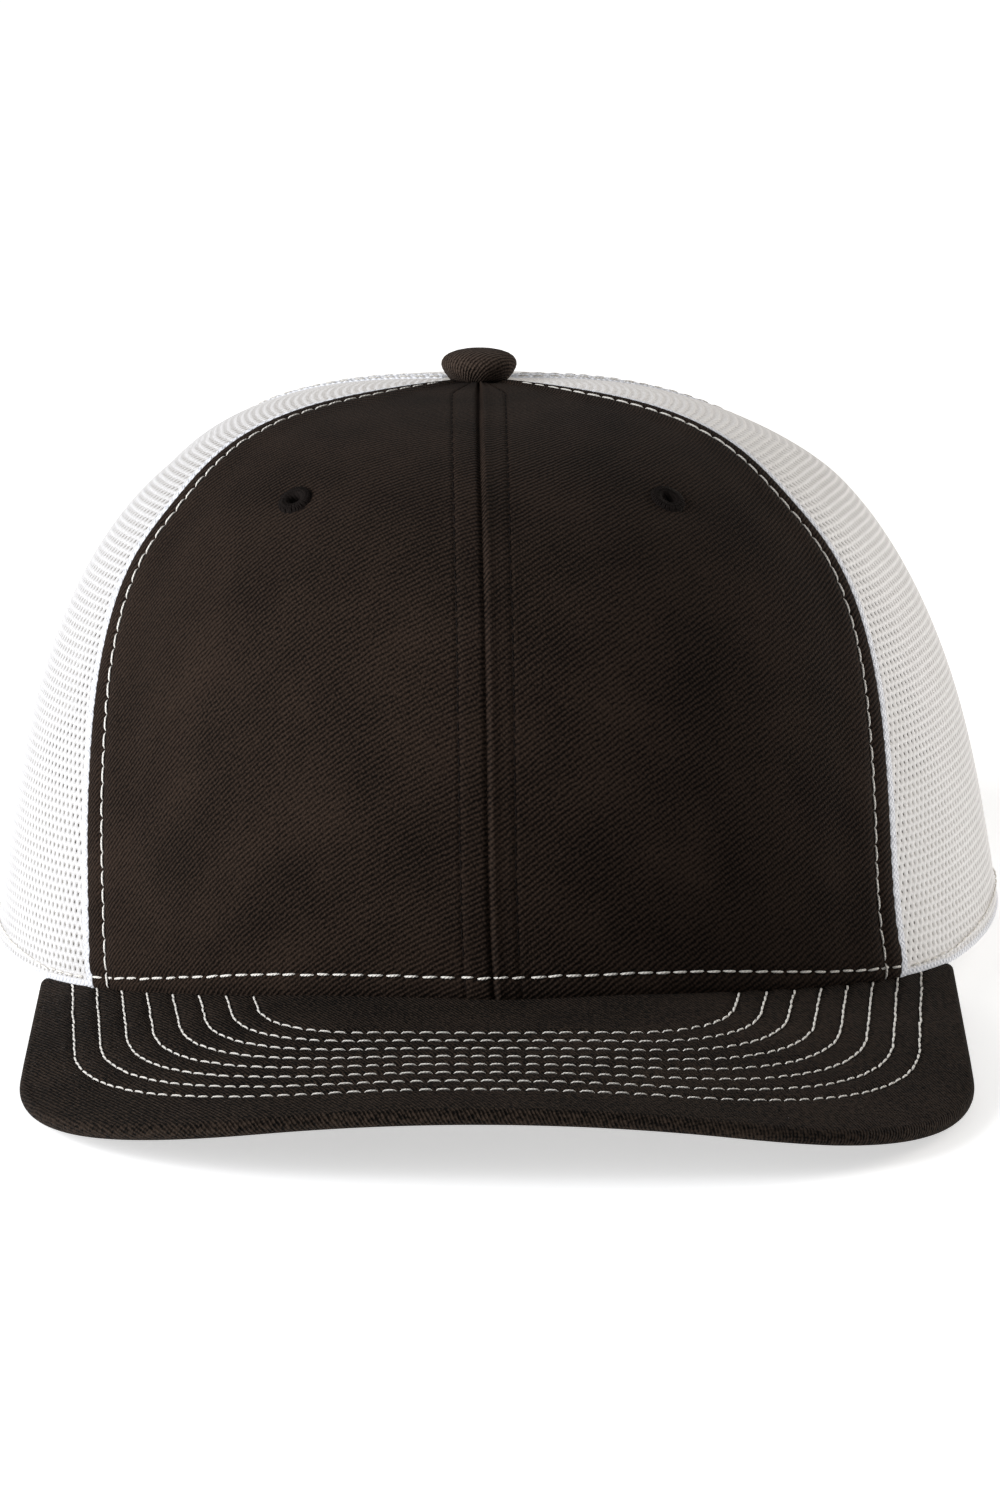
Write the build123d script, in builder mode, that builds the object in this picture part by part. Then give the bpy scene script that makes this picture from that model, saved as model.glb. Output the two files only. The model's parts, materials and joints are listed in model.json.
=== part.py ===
"""A trucker mesh cap, made of its sewn panels, visor layers, sweatband, button and snap closure.

Frame: +Z up, the visor points along -Y, +X is to the right of someone who looks at the front.
The cap lies on a table as it does when it is put down: on the two front corners of the visor
and on the rim beside the rear opening. The origin is at the middle of its footprint.
Everything is drawn in the band's own frame: its origin is the centre of the rim, its z axis
runs up through the crown, and the resting pose tips it back by REST_TILT.
"""

from build123d import *
import os
from math import atan2, cos, radians, sin, sqrt, tan

os.makedirs("parts", exist_ok=True)

# ---------------------------------------------------------------- driving dimensions, mm
RIM_WIDTH = 190.0
RIM_LENGTH = 196.0
CROWN_HEIGHT = 98.7
BUTTON_BACK = 4.0           # the button sits this far behind the centre of the rim
SIDE_CURVE = (0.14, 3.03)   # how much the wall leans in, and how square its shoulder is
FRONT_CURVE = (0.05, 3.3)
BACK_CURVE = (0.13, 2.7)
CROWN_STEPS = 16            # ovals that the crown's surface runs through
CROWN_SPACING = 2.3         # they lie closer together towards the top
CROWN_START = -0.08         # share of the height of the lowest one, below the rim

REST_TILT = 3.66            # degrees, the front of the rim is the higher one
RIM_CENTRE = (0.0, 37.85, 5.87)   # with it, the cap stands on z = 0 and its footprint is centred

TWILL = 0.8                 # outer cloth of the front
BUCKRAM = 0.9               # stiffener glued behind it
MESH = 1.0
TAPE = 0.6                  # bias tape over the inside of the seams
TAPE_WIDTH = 16.0
TAPE_START = 24.0           # side tapes begin this far from the button's axis
TAPE_EASE = 1.0             # between the rear tape and the edge of the opening
LINING_DEPTH = TWILL + BUCKRAM

SEAM_TURN = 62.0            # front side seam, degrees from straight ahead, seen from above
SEAM_LEAN = 14.0            # and how far its plane leans forward on the way down
BACK_SEAM_TURN = 113.0      # side to back seam, degrees from straight ahead

VISOR_LENGTH = 69.0         # along the middle, from the crown to the front edge
VISOR_HALF_WIDTH = 84.8
VISOR_FRONT_ARC = 202.0     # radius of its front edge, seen from above
VISOR_CORNER_ARC = 52.0     # radius of its front corners
VISOR_CREST = 3.2           # height of its top over the rim plane, at the crown
VISOR_SLOPE = 3.7           # degrees that it falls towards the front
VISOR_BEND_REAR = 420.0     # radius of its cross bend at the rear corners
VISOR_BEND_FRONT = 260.0    # and at the front edge
VISOR_CORNER = (83.4, -48.0)
VISOR_EASE = 0.5            # air between its inner edge and the sweatband
VISOR_CLOTH = 0.7
VISOR_BOARD = 1.7
VISOR_THICKNESS = VISOR_BOARD + 2 * VISOR_CLOTH

SWEATBAND_INSET = 3.0       # its outer face, measured in from the crown's outer face
SWEATBAND_FOAM = 1.3
SWEATBAND_CLOTH = 0.7
SWEATBAND_HEIGHT = 32.0
SWEATBAND_LIFT = 0.2        # its lower edge over the rim
FOAM_END = 40.0             # the foam stops this far behind the centre of the rim
SWEATBAND_EDGE = 2.0        # bound top edge
SWEATBAND_END = 46.0        # half of the gap it leaves at the rear

ARCH_HALF_WIDTH = 38.0
ARCH_SHOULDER = 8.0         # height where its sides turn into the round top
ARCH_ROUND = 38.0
BINDING = 0.6
BINDING_WIDTH = 8.0

BUTTON_RADIUS = 7.0
BUTTON_RISE = 4.5
BUTTON_CLOTH = 0.6
BUTTON_METAL = 0.7
RIVET_RADIUS = 1.5
RIVET_HOLE = 1.8
RIVET_EASE = 0.3            # air between the rivet's end and the dome
WASHER_RADIUS = 6.0
WASHER = 0.8

EYELET_X = 34.0
EYELET_HEIGHT = 86.0
EYELET_RADIUS = 3.5
EYELET_HOLE = 1.0
EYELET_RISE = 0.4

STRAP_RADIUS = 200.0
STRAP_HEIGHT = 15.0
STRAP_BOTTOM = 1.6
STRAP = 1.2
STRAP_GAP = 0.3             # air between the two straps
STRAP_ROOT = 35.8           # x of the sewn roots, just clear of the arch's binding
STRAP_ROOT_Y = 87.8
STRAP_LEAN = 8.0            # degrees, as the crown's wall leans in at the rear
STRAP_TIP = 18.4            # how far each strap passes the middle
STRAP_PITCH = 9.0
POST_RADIUS = 2.3
POST_RISE = 0.7             # the posts stand this proud of the holed strap
POST_ROOT = 0.4             # and start this deep in their own strap
STRAP_HOLE = 2.8
TAB_END = 55.0
TAB_EASE = 1.3              # from the hinge line to the sewn tab, so that the strap can turn

LABEL = (26.0, 18.0)
LABEL_THICKNESS = 0.3
LABEL_PLACE = (38.0, 20.0)  # its middle: y and height over the rim
FAR = 140.0                 # longer than any piece, for cutting bodies
BELOW = 30.0                # lower than any piece under the rim plane

# ---------------------------------------------------------------- frames
rest = radians(REST_TILT)
BAND = Plane(
    origin=RIM_CENTRE,
    x_dir=(1, 0, 0),
    z_dir=(0, sin(rest), cos(rest)),
)


def on_band(plane):
    """A plane given in the band's frame, in the cap's frame."""
    return Plane(BAND.location * plane.location)


def upright(y=0.0, z=0.0):
    """A plane across the cap at a given y, with its normal to the front and z upwards."""
    return on_band(Plane(origin=(0, y, z), x_dir=(1, 0, 0), z_dir=(0, -1, 0)))


# ---------------------------------------------------------------- crown surface
def crown_share(step):
    """Share of the crown's height at one of its ovals."""
    return 1 - (1 - CROWN_START) * (1 - step / CROWN_STEPS) ** CROWN_SPACING


PEAK = crown_share(CROWN_STEPS - 1)   # the last oval bounds a small flat top


def drawn_in(share, curve):
    """How far the wall has come in at a share of the crown's height."""
    lean, squareness = curve
    return (1 - lean * share) * (1 - abs(share) ** squareness) ** (1 / squareness)


def crown_oval(share, inset):
    """Half-width, half-length and centre of the crown's oval at a share of its height."""
    half_width = (RIM_WIDTH / 2 - inset) * drawn_in(share, SIDE_CURVE)
    front = BUTTON_BACK - (RIM_LENGTH / 2 + BUTTON_BACK - inset) * drawn_in(share, FRONT_CURVE)
    back = BUTTON_BACK + (RIM_LENGTH / 2 - BUTTON_BACK - inset) * drawn_in(share, BACK_CURVE)
    return half_width, (back - front) / 2, (front + back) / 2


def crown_form(inset, mode=Mode.ADD):
    """The solid inside the crown's surface, moved in by inset, from below the rim upwards."""
    sections = []
    for step in range(CROWN_STEPS):
        share = crown_share(step)
        half_width, half_length, centre = crown_oval(share, inset)
        with BuildSketch(BAND.offset(share * (CROWN_HEIGHT - inset))) as oval:
            with Locations((0, centre)):
                Ellipse(half_width, half_length)
        sections.append(oval.sketch)
    loft(sections=sections, mode=mode)


# ---------------------------------------------------------------- visor surface
def visor_bend(y):
    """Radius of the visor's cross bend at a place along its length."""
    rear_y = VISOR_CORNER[1]
    front_y = -RIM_LENGTH / 2 - VISOR_LENGTH
    share = (rear_y - y) / (rear_y - front_y)
    return VISOR_BEND_REAR + share * (VISOR_BEND_FRONT - VISOR_BEND_REAR)


def visor_top(x, y):
    """Height of the visor's top over the rim plane."""
    crest = VISOR_CREST + (y + RIM_LENGTH / 2) * tan(radians(VISOR_SLOPE))
    bend = visor_bend(y)
    return crest - bend + sqrt(bend**2 - x**2)


def visor_sheet(depth_from, depth_to, rear=-20.0, mode=Mode.ADD):
    """A bent sheet between two depths below the visor's top."""
    half = RIM_WIDTH / 2 + 5
    sections = []
    for y in (rear, -RIM_LENGTH / 2 - VISOR_LENGTH - 13):
        edge_z = visor_top(half, y)
        crest_z = visor_top(0, y)
        with BuildSketch(upright(y)) as section:
            with BuildLine():
                for depth in (depth_from, depth_to):
                    left = (-half, edge_z - depth)
                    right = (half, edge_z - depth)
                    ThreePointArc(left, (0, crest_z - depth), right)
                for x in (-half, half):
                    Line((x, edge_z - depth_from), (x, edge_z - depth_to))
            make_face()
        sections.append(section.sketch)
    loft(sections=sections, ruled=True, mode=mode)


def visor_plan(inset):
    """Plan of the visor, drawn on the rim plane, inset along its free edge only."""
    half = VISOR_HALF_WIDTH
    front_y = -RIM_LENGTH / 2 - VISOR_LENGTH
    side_y = front_y + VISOR_FRONT_ARC - sqrt(VISOR_FRONT_ARC**2 - half**2)
    corner_x, corner_y = VISOR_CORNER
    with BuildLine() as outline:
        ThreePointArc((-half, side_y), (0, front_y), (half, side_y))
        Polyline((half, side_y), (corner_x, corner_y), (-corner_x, corner_y), (-half, side_y))
    make_face(outline.edges())
    fillet(vertices().sort_by(Axis.Y)[:2], radius=VISOR_CORNER_ARC)
    if inset:
        offset(amount=-inset)
        with Locations((0, corner_y - inset)):
            Rectangle(2 * (corner_x - inset), 2 * inset)
    inner = SWEATBAND_INSET - VISOR_EASE
    Ellipse(RIM_WIDTH / 2 - inner, RIM_LENGTH / 2 - inner, mode=Mode.SUBTRACT)


def visor_layer(inset, depth_from, depth_to):
    """One layer of the visor: its plan, cut out of the bent sheet."""
    with BuildSketch(BAND.offset(-BELOW)) as plan:
        visor_plan(inset)
    extrude(plan.sketch, amount=2 * BELOW)
    visor_sheet(depth_from, depth_to, mode=Mode.INTERSECT)


# ---------------------------------------------------------------- cutting planes
rim_dip = atan2(-visor_top(*VISOR_CORNER), RIM_LENGTH / 2 - VISOR_CORNER[1])
RIM_CUT = on_band(
    Plane(
        origin=(0, RIM_LENGTH / 2, 0),
        x_dir=(1, 0, 0),
        z_dir=(0, -sin(rim_dip), cos(rim_dip)),
    )
)
CENTRE_CUT = on_band(Plane(origin=(0, 0, 0), x_dir=(0, 1, 0), z_dir=(1, 0, 0)))


def front_seam_cut(side, shift=0.0):
    """Plane of a front side seam. Its normal points to the front panel's side."""
    turn = radians(SEAM_TURN)
    lean = radians(SEAM_LEAN)
    normal = Vector(-side * cos(turn) * cos(lean), -sin(turn) * cos(lean), sin(lean))
    top = Vector(0, BUTTON_BACK, CROWN_HEIGHT)
    return on_band(Plane(origin=top + normal * shift, z_dir=normal))


def back_seam_cut(side, shift=0.0):
    """Upright plane of a side to back seam, with its normal to the front."""
    turn = radians(BACK_SEAM_TURN)
    normal = Vector(-side * cos(turn), -sin(turn), 0)
    return on_band(Plane(origin=Vector(0, BUTTON_BACK, 0) + normal * shift, z_dir=normal))


def rivet_hole():
    """The hole that the button's rivet needs through every layer at the top."""
    with BuildSketch(BAND.offset(CROWN_HEIGHT - 8)) as hole:
        with Locations((0, BUTTON_BACK)):
            Circle(RIVET_HOLE)
    extrude(hole.sketch, amount=16, mode=Mode.SUBTRACT)


def trim_rim():
    """Cut a shell at the visor's top and at the rim."""
    visor_sheet(0, BELOW, rear=VISOR_CORNER[1], mode=Mode.SUBTRACT)
    split(bisect_by=RIM_CUT, keep=Keep.TOP)


def arch_outline(grow):
    """Outline of the rear opening, seen from behind, grown by a distance."""
    with Locations((0, ARCH_SHOULDER)):
        Ellipse(ARCH_HALF_WIDTH + grow, ARCH_ROUND + grow)
    with Locations((0, ARCH_SHOULDER - 20)):
        Rectangle(2 * (ARCH_HALF_WIDTH + grow), 40)


# ---------------------------------------------------------------- crown shells
def shell(inset_from, inset_to):
    """The crown's wall between two depths, trimmed at the visor and the rim."""
    crown_form(inset_from)
    crown_form(inset_to, mode=Mode.SUBTRACT)
    rivet_hole()
    trim_rim()


with BuildPart() as twill_shell:
    shell(0, TWILL)

with BuildPart() as buckram_shell:
    shell(TWILL, LINING_DEPTH)

with BuildPart() as mesh_shell:
    shell(0, MESH)

with BuildPart() as tape_shell:
    shell(LINING_DEPTH, LINING_DEPTH + TAPE)

SIDES = (("left", -1), ("right", 1))


# ---------------------------------------------------------------- front panels and eyelets
def eyelet_axis(side):
    """A plane on the crown's outer face at an eyelet, with its normal pointing out."""
    def front_y(x, height):
        half_width, half_length, centre = crown_oval(height / CROWN_HEIGHT, 0)
        return centre - half_length * sqrt(1 - (x / half_width) ** 2)

    x = side * EYELET_X
    step = 0.5
    y = front_y(x, EYELET_HEIGHT)
    slope_x = (front_y(x + step, EYELET_HEIGHT) - front_y(x - step, EYELET_HEIGHT)) / (2 * step)
    slope_z = (front_y(x, EYELET_HEIGHT + step) - front_y(x, EYELET_HEIGHT - step)) / (2 * step)
    normal = Vector(slope_x, -1, slope_z)
    return on_band(Plane(origin=(x, y, EYELET_HEIGHT), z_dir=normal))


def front_piece(wall, side):
    """The front part of a wall on one side of the middle, with its eyelet hole."""
    add(wall.part)
    split(bisect_by=CENTRE_CUT, keep=Keep.TOP if side > 0 else Keep.BOTTOM)
    split(bisect_by=front_seam_cut(side), keep=Keep.TOP)
    with BuildSketch(eyelet_axis(side)) as hole:
        Circle(EYELET_HOLE)
    extrude(hole.sketch, amount=6, both=True, mode=Mode.SUBTRACT)


for name, side in SIDES:
    with BuildPart() as front_panel:
        front_piece(twill_shell, side)
    front_panel.part.label = f"front_panel_{name}"
    export_step(front_panel.part, f"parts/front_panel_{name}.step")

    with BuildPart() as front_buckram:
        front_piece(buckram_shell, side)
    front_buckram.part.label = f"front_buckram_{name}"
    export_step(front_buckram.part, f"parts/front_buckram_{name}.step")

with BuildPart() as front_eyelets:
    with BuildSketch(*[eyelet_axis(side) for _, side in SIDES]):
        Circle(EYELET_RADIUS)
        Circle(EYELET_HOLE, mode=Mode.SUBTRACT)
    extrude(amount=5, both=True)
    crown_form(-EYELET_RISE, mode=Mode.INTERSECT)
    crown_form(0, mode=Mode.SUBTRACT)
front_eyelets.part.label = "front_eyelets"
export_step(front_eyelets.part, "parts/front_eyelets.step")


# ---------------------------------------------------------------- mesh panels
back_mesh = {}
for name, side in SIDES:
    with BuildPart() as side_mesh:
        add(mesh_shell.part)
        split(bisect_by=CENTRE_CUT, keep=Keep.TOP if side > 0 else Keep.BOTTOM)
        split(bisect_by=front_seam_cut(side), keep=Keep.BOTTOM)
        split(bisect_by=back_seam_cut(side), keep=Keep.TOP)
    side_mesh.part.label = f"side_mesh_{name}"
    export_step(side_mesh.part, f"parts/side_mesh_{name}.step")

    with BuildPart() as back_panel:
        add(mesh_shell.part)
        split(bisect_by=CENTRE_CUT, keep=Keep.TOP if side > 0 else Keep.BOTTOM)
        split(bisect_by=back_seam_cut(side), keep=Keep.BOTTOM)
        with BuildSketch(upright(0)):
            arch_outline(BINDING)
        extrude(amount=-FAR, mode=Mode.SUBTRACT)
    back_panel.part.label = f"back_mesh_{name}"
    export_step(back_panel.part, f"parts/back_mesh_{name}.step")
    back_mesh[name] = back_panel.part

with BuildPart() as arch_binding:
    crown_form(-BINDING)
    crown_form(MESH + BINDING, mode=Mode.SUBTRACT)
    split(bisect_by=RIM_CUT, keep=Keep.TOP)
    with BuildSketch(upright(0)):
        arch_outline(BINDING_WIDTH)
    extrude(amount=-FAR, mode=Mode.INTERSECT)
    with BuildSketch(upright(0)):
        arch_outline(0)
    extrude(amount=-FAR, mode=Mode.SUBTRACT)
    for panel in back_mesh.values():
        add(panel, mode=Mode.SUBTRACT)
arch_binding.part.label = "arch_binding"
export_step(arch_binding.part, "parts/arch_binding.step")


# ---------------------------------------------------------------- tapes over the seams
def clear_of_button():
    """Side tapes stop where the tapes from the other seams come in."""
    with BuildSketch(BAND.offset(CROWN_HEIGHT / 2)) as middle:
        with Locations((0, BUTTON_BACK)):
            Circle(TAPE_START)
    extrude(middle.sketch, amount=FAR, mode=Mode.SUBTRACT)


with BuildPart() as centre_tape:
    add(tape_shell.part)
    with BuildSketch(upright(0)):
        with Locations((0, CROWN_HEIGHT / 2)):
            Rectangle(TAPE_WIDTH, CROWN_HEIGHT + 20)
    extrude(amount=FAR, both=True, mode=Mode.INTERSECT)
    with BuildSketch(upright(0)):
        arch_outline(TAPE_EASE)
    extrude(amount=-FAR, mode=Mode.SUBTRACT)
centre_tape.part.label = "centre_seam_tape"
export_step(centre_tape.part, "parts/centre_seam_tape.step")

for name, side in SIDES:
    for place, cut in (("front", front_seam_cut), ("back", back_seam_cut)):
        with BuildPart() as seam_tape:
            add(tape_shell.part)
            split(bisect_by=CENTRE_CUT, keep=Keep.TOP if side > 0 else Keep.BOTTOM)
            split(bisect_by=cut(side, -TAPE_WIDTH / 2), keep=Keep.TOP)
            split(bisect_by=cut(side, TAPE_WIDTH / 2), keep=Keep.BOTTOM)
            clear_of_button()
        seam_tape.part.label = f"{place}_seam_tape_{name}"
        export_step(seam_tape.part, f"parts/{place}_seam_tape_{name}.step")


# ---------------------------------------------------------------- button on top
BUTTON_PLANE = upright(BUTTON_BACK, PEAK * CROWN_HEIGHT)
BUTTON_AXIS = Axis(BUTTON_PLANE.origin, BAND.z_dir)


def dome(radius, rise, wall):
    """A hollow cap of a sphere, turned about the button's axis."""
    with BuildSketch(BUTTON_PLANE) as profile:
        for shrink, mode in ((0, Mode.ADD), (wall, Mode.SUBTRACT)):
            outer = radius - shrink
            height = rise - shrink
            ball = (outer**2 + height**2) / (2 * height)
            with Locations((0, height - ball)):
                Circle(ball, mode=mode)
        with Locations((radius / 2, rise / 2)):
            Rectangle(radius, rise, mode=Mode.INTERSECT)
    revolve(profile.sketch, axis=BUTTON_AXIS)


with BuildPart() as button_cover:
    dome(BUTTON_RADIUS, BUTTON_RISE, BUTTON_CLOTH)
button_cover.part.label = "button_cover"
export_step(button_cover.part, "parts/button_cover.step")

with BuildPart() as button_shell:
    dome(BUTTON_RADIUS - BUTTON_CLOTH, BUTTON_RISE - BUTTON_CLOTH, BUTTON_METAL)
button_shell.part.label = "button_shell"
export_step(button_shell.part, "parts/button_shell.step")

rivet_top = PEAK * CROWN_HEIGHT + BUTTON_RISE - BUTTON_CLOTH - BUTTON_METAL - RIVET_EASE
washer_bottom = PEAK * (CROWN_HEIGHT - LINING_DEPTH - TAPE) - WASHER
with BuildPart() as button_rivet:
    with BuildSketch(BAND.offset(washer_bottom)):
        with Locations((0, BUTTON_BACK)):
            Circle(RIVET_RADIUS)
    extrude(amount=rivet_top - washer_bottom)
    with BuildSketch(BAND.offset(washer_bottom)):
        with Locations((0, BUTTON_BACK)):
            Circle(WASHER_RADIUS)
    extrude(amount=WASHER)
button_rivet.part.label = "button_rivet"
export_step(button_rivet.part, "parts/button_rivet.step")


# ---------------------------------------------------------------- visor
with BuildPart() as visor_core:
    visor_layer(VISOR_CLOTH, VISOR_CLOTH, VISOR_THICKNESS + 1)

with BuildPart() as visor_top_cloth:
    visor_layer(0, 0, VISOR_THICKNESS)
    add(visor_core.part, mode=Mode.SUBTRACT)
visor_top_cloth.part.label = "visor_top_cloth"
export_step(visor_top_cloth.part, "parts/visor_top_cloth.step")

with BuildPart() as visor_board:
    visor_layer(VISOR_CLOTH, VISOR_CLOTH, VISOR_CLOTH + VISOR_BOARD)
visor_board.part.label = "visor_board"
export_step(visor_board.part, "parts/visor_board.step")

with BuildPart() as visor_under_cloth:
    visor_layer(VISOR_CLOTH, VISOR_CLOTH + VISOR_BOARD, VISOR_THICKNESS)
visor_under_cloth.part.label = "visor_under_cloth"
export_step(visor_under_cloth.part, "parts/visor_under_cloth.step")


# ---------------------------------------------------------------- sweatband
def sweatband_ring(inset_from, inset_to, bottom, top, rear_limit):
    """A ring inside the rim between two heights, open at the rear closure."""
    crown_form(inset_from)
    crown_form(inset_to, mode=Mode.SUBTRACT)
    split(bisect_by=RIM_CUT.offset(bottom), keep=Keep.TOP)
    split(bisect_by=BAND.offset(top), keep=Keep.BOTTOM)
    with BuildSketch(BAND.offset(-20)) as rear:
        with Locations((0, RIM_LENGTH / 2)):
            Rectangle(2 * SWEATBAND_END, RIM_LENGTH)
        with Locations((0, rear_limit + FAR / 2)):
            Rectangle(2 * FAR, FAR)
    extrude(rear.sketch, amount=FAR, mode=Mode.SUBTRACT)


cloth_inset = SWEATBAND_INSET + SWEATBAND_FOAM
face_inset = cloth_inset + SWEATBAND_CLOTH

with BuildPart() as sweatband_cloth:
    sweatband_ring(cloth_inset, face_inset, SWEATBAND_LIFT, SWEATBAND_HEIGHT, FAR)
sweatband_cloth.part.label = "sweatband_cloth"
export_step(sweatband_cloth.part, "parts/sweatband_cloth.step")

with BuildPart() as sweatband_foam:
    sweatband_ring(SWEATBAND_INSET, cloth_inset, SWEATBAND_LIFT, SWEATBAND_HEIGHT, FOAM_END)
sweatband_foam.part.label = "sweatband_foam"
export_step(sweatband_foam.part, "parts/sweatband_foam.step")

with BuildPart() as sweatband_edging:
    sweatband_ring(
        SWEATBAND_INSET,
        face_inset,
        SWEATBAND_HEIGHT + 1.8,
        SWEATBAND_HEIGHT + SWEATBAND_EDGE,
        FAR,
    )
    split(bisect_by=BAND.offset(SWEATBAND_HEIGHT), keep=Keep.TOP)
sweatband_edging.part.label = "sweatband_edging"
export_step(sweatband_edging.part, "parts/sweatband_edging.step")

with BuildPart() as care_label:
    crown_form(face_inset)
    crown_form(face_inset + LABEL_THICKNESS, mode=Mode.SUBTRACT)
    with BuildSketch(on_band(Plane(origin=(0, 0, 0), x_dir=(0, 1, 0), z_dir=(-1, 0, 0)))):
        with Locations((LABEL_PLACE[0], -LABEL_PLACE[1])):
            Rectangle(*LABEL)
    extrude(amount=FAR, mode=Mode.INTERSECT)
care_label.part.label = "care_label"
export_step(care_label.part, "parts/care_label.step")


# ---------------------------------------------------------------- snap closure
# The holed strap lies outside the strap with the posts. The line between them is an arc that is
# turned a little about the upright axis, so that each strap meets its own root.
half_span = STRAP_ROOT
outer_middle = STRAP / 2
inner_middle = -STRAP_GAP - STRAP / 2
strap_turn = atan2(outer_middle - inner_middle, 2 * half_span)
strap_rise = STRAP_RADIUS - sqrt(STRAP_RADIUS**2 - half_span**2)
strap_mid_y = STRAP_ROOT_Y + strap_rise - (outer_middle + inner_middle) / 2
STRAP_PLANE = on_band(
    Plane(
        origin=(0, strap_mid_y, 0),
        x_dir=(cos(strap_turn), sin(strap_turn), 0),
        z_dir=Vector(0, 0, 1).rotate(Axis.X, STRAP_LEAN),
    )
)


def on_strap(plane):
    """A plane given in the strap's frame, in the cap's frame."""
    return Plane(STRAP_PLANE.location * plane.location)


def strap_body(root_x, tip_x, layer_from, layer_to):
    """A bent strip between two distances from the dividing arc, with a round free end."""
    with BuildSketch(STRAP_PLANE.offset(STRAP_BOTTOM)) as bend:
        with Locations((0, -STRAP_RADIUS)):
            Circle(STRAP_RADIUS + layer_to)
            Circle(STRAP_RADIUS + layer_from, mode=Mode.SUBTRACT)
    extrude(bend.sketch, amount=STRAP_HEIGHT)
    round_end = STRAP_HEIGHT / 2
    round_x = tip_x - round_end if tip_x > root_x else tip_x + round_end
    middle_z = STRAP_BOTTOM + round_end
    elevation = on_strap(Plane(origin=(0, 0, middle_z), x_dir=(1, 0, 0), z_dir=(0, -1, 0)))
    with BuildSketch(elevation) as side_view:
        with Locations(((root_x + round_x) / 2, 0)):
            Rectangle(abs(round_x - root_x), STRAP_HEIGHT)
        with Locations((round_x, 0)):
            Circle(round_end)
    extrude(side_view.sketch, amount=20, both=True, mode=Mode.INTERSECT)


def post_planes(count, first_x):
    """Planes on the dividing arc where posts or holes are, with their normals outwards."""
    planes = []
    for step in range(count):
        turn = (first_x + step * STRAP_PITCH) / STRAP_RADIUS
        planes.append(
            on_strap(
                Plane(
                    origin=(
                        STRAP_RADIUS * sin(turn),
                        STRAP_RADIUS * (cos(turn) - 1),
                        STRAP_BOTTOM + STRAP_HEIGHT / 2,
                    ),
                    x_dir=(0, 0, 1),
                    z_dir=(sin(turn), cos(turn), 0),
                )
            )
        )
    return planes


first_engaged = -1.5 * STRAP_PITCH
with BuildPart() as strap_holes:
    strap_body(-half_span, STRAP_TIP, 0, STRAP)
    with BuildSketch(*post_planes(6, first_engaged - 2 * STRAP_PITCH)):
        Circle(STRAP_HOLE)
    extrude(amount=6, both=True, mode=Mode.SUBTRACT)
strap_holes.part.label = "strap_holes"
export_step(strap_holes.part, "parts/strap_holes.step")

with BuildPart() as strap_posts:
    strap_body(half_span, -STRAP_TIP, -STRAP_GAP - STRAP, -STRAP_GAP)
    post_start = -STRAP_GAP - POST_ROOT
    with BuildSketch(*[plane.offset(post_start) for plane in post_planes(6, first_engaged)]):
        Circle(POST_RADIUS)
    extrude(amount=STRAP + POST_RISE - post_start)
strap_posts.part.label = "strap_posts"
export_step(strap_posts.part, "parts/strap_posts.step")

tab_start = half_span + TAB_EASE
for name, side in SIDES:
    with BuildPart() as strap_tab:
        crown_form(MESH + BINDING + 0.1)
        crown_form(SWEATBAND_INSET - 0.1, mode=Mode.SUBTRACT)
        with BuildSketch(upright(0)):
            with Locations((side * (tab_start + TAB_END) / 2, STRAP_BOTTOM + STRAP_HEIGHT / 2)):
                Rectangle(TAB_END - tab_start, STRAP_HEIGHT)
        extrude(amount=-FAR, mode=Mode.INTERSECT)
    strap_tab.part.label = f"strap_tab_{name}"
    export_step(strap_tab.part, f"parts/strap_tab_{name}.step")

hinge_left = STRAP_PLANE.from_local_coords(Vector(-half_span, -strap_rise + outer_middle, 0))
hinge_right = STRAP_PLANE.from_local_coords(Vector(half_span, -strap_rise + inner_middle, 0))
print("strap_holes hinge", [round(v, 3) for v in hinge_left])
print("strap_posts hinge", [round(v, 3) for v in hinge_right])
print("hinge axis", [round(v, 5) for v in STRAP_PLANE.z_dir])
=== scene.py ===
"""Looks of the trucker mesh cap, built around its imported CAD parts.

Shapes are worked out in millimetres in the band's own frame: its origin is the middle of the rim,
x to the right of someone who looks at the front, y to the back and z up through the crown.
world() puts such points in the row frame, in metres.
"""

import json
import math

import bpy
import numpy as np
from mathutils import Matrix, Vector
from mathutils.kdtree import KDTree

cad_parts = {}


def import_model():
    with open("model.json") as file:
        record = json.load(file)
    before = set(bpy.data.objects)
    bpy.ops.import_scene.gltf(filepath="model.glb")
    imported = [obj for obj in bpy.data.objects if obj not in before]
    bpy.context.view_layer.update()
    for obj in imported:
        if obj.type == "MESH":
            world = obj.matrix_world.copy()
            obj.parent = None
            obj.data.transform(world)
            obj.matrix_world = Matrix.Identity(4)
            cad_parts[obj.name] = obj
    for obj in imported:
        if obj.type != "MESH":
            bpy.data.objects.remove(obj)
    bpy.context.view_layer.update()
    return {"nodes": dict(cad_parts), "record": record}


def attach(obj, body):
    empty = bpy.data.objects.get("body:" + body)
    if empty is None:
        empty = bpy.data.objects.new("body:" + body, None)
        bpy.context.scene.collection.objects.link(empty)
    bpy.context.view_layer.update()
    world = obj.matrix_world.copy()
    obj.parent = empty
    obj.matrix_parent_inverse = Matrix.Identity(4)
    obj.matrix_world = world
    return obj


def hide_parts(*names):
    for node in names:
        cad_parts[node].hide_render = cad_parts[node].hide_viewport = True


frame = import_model()
rng = np.random.default_rng(7)
MM = 0.001
SIDES = (("left", -1), ("right", 1))

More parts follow.
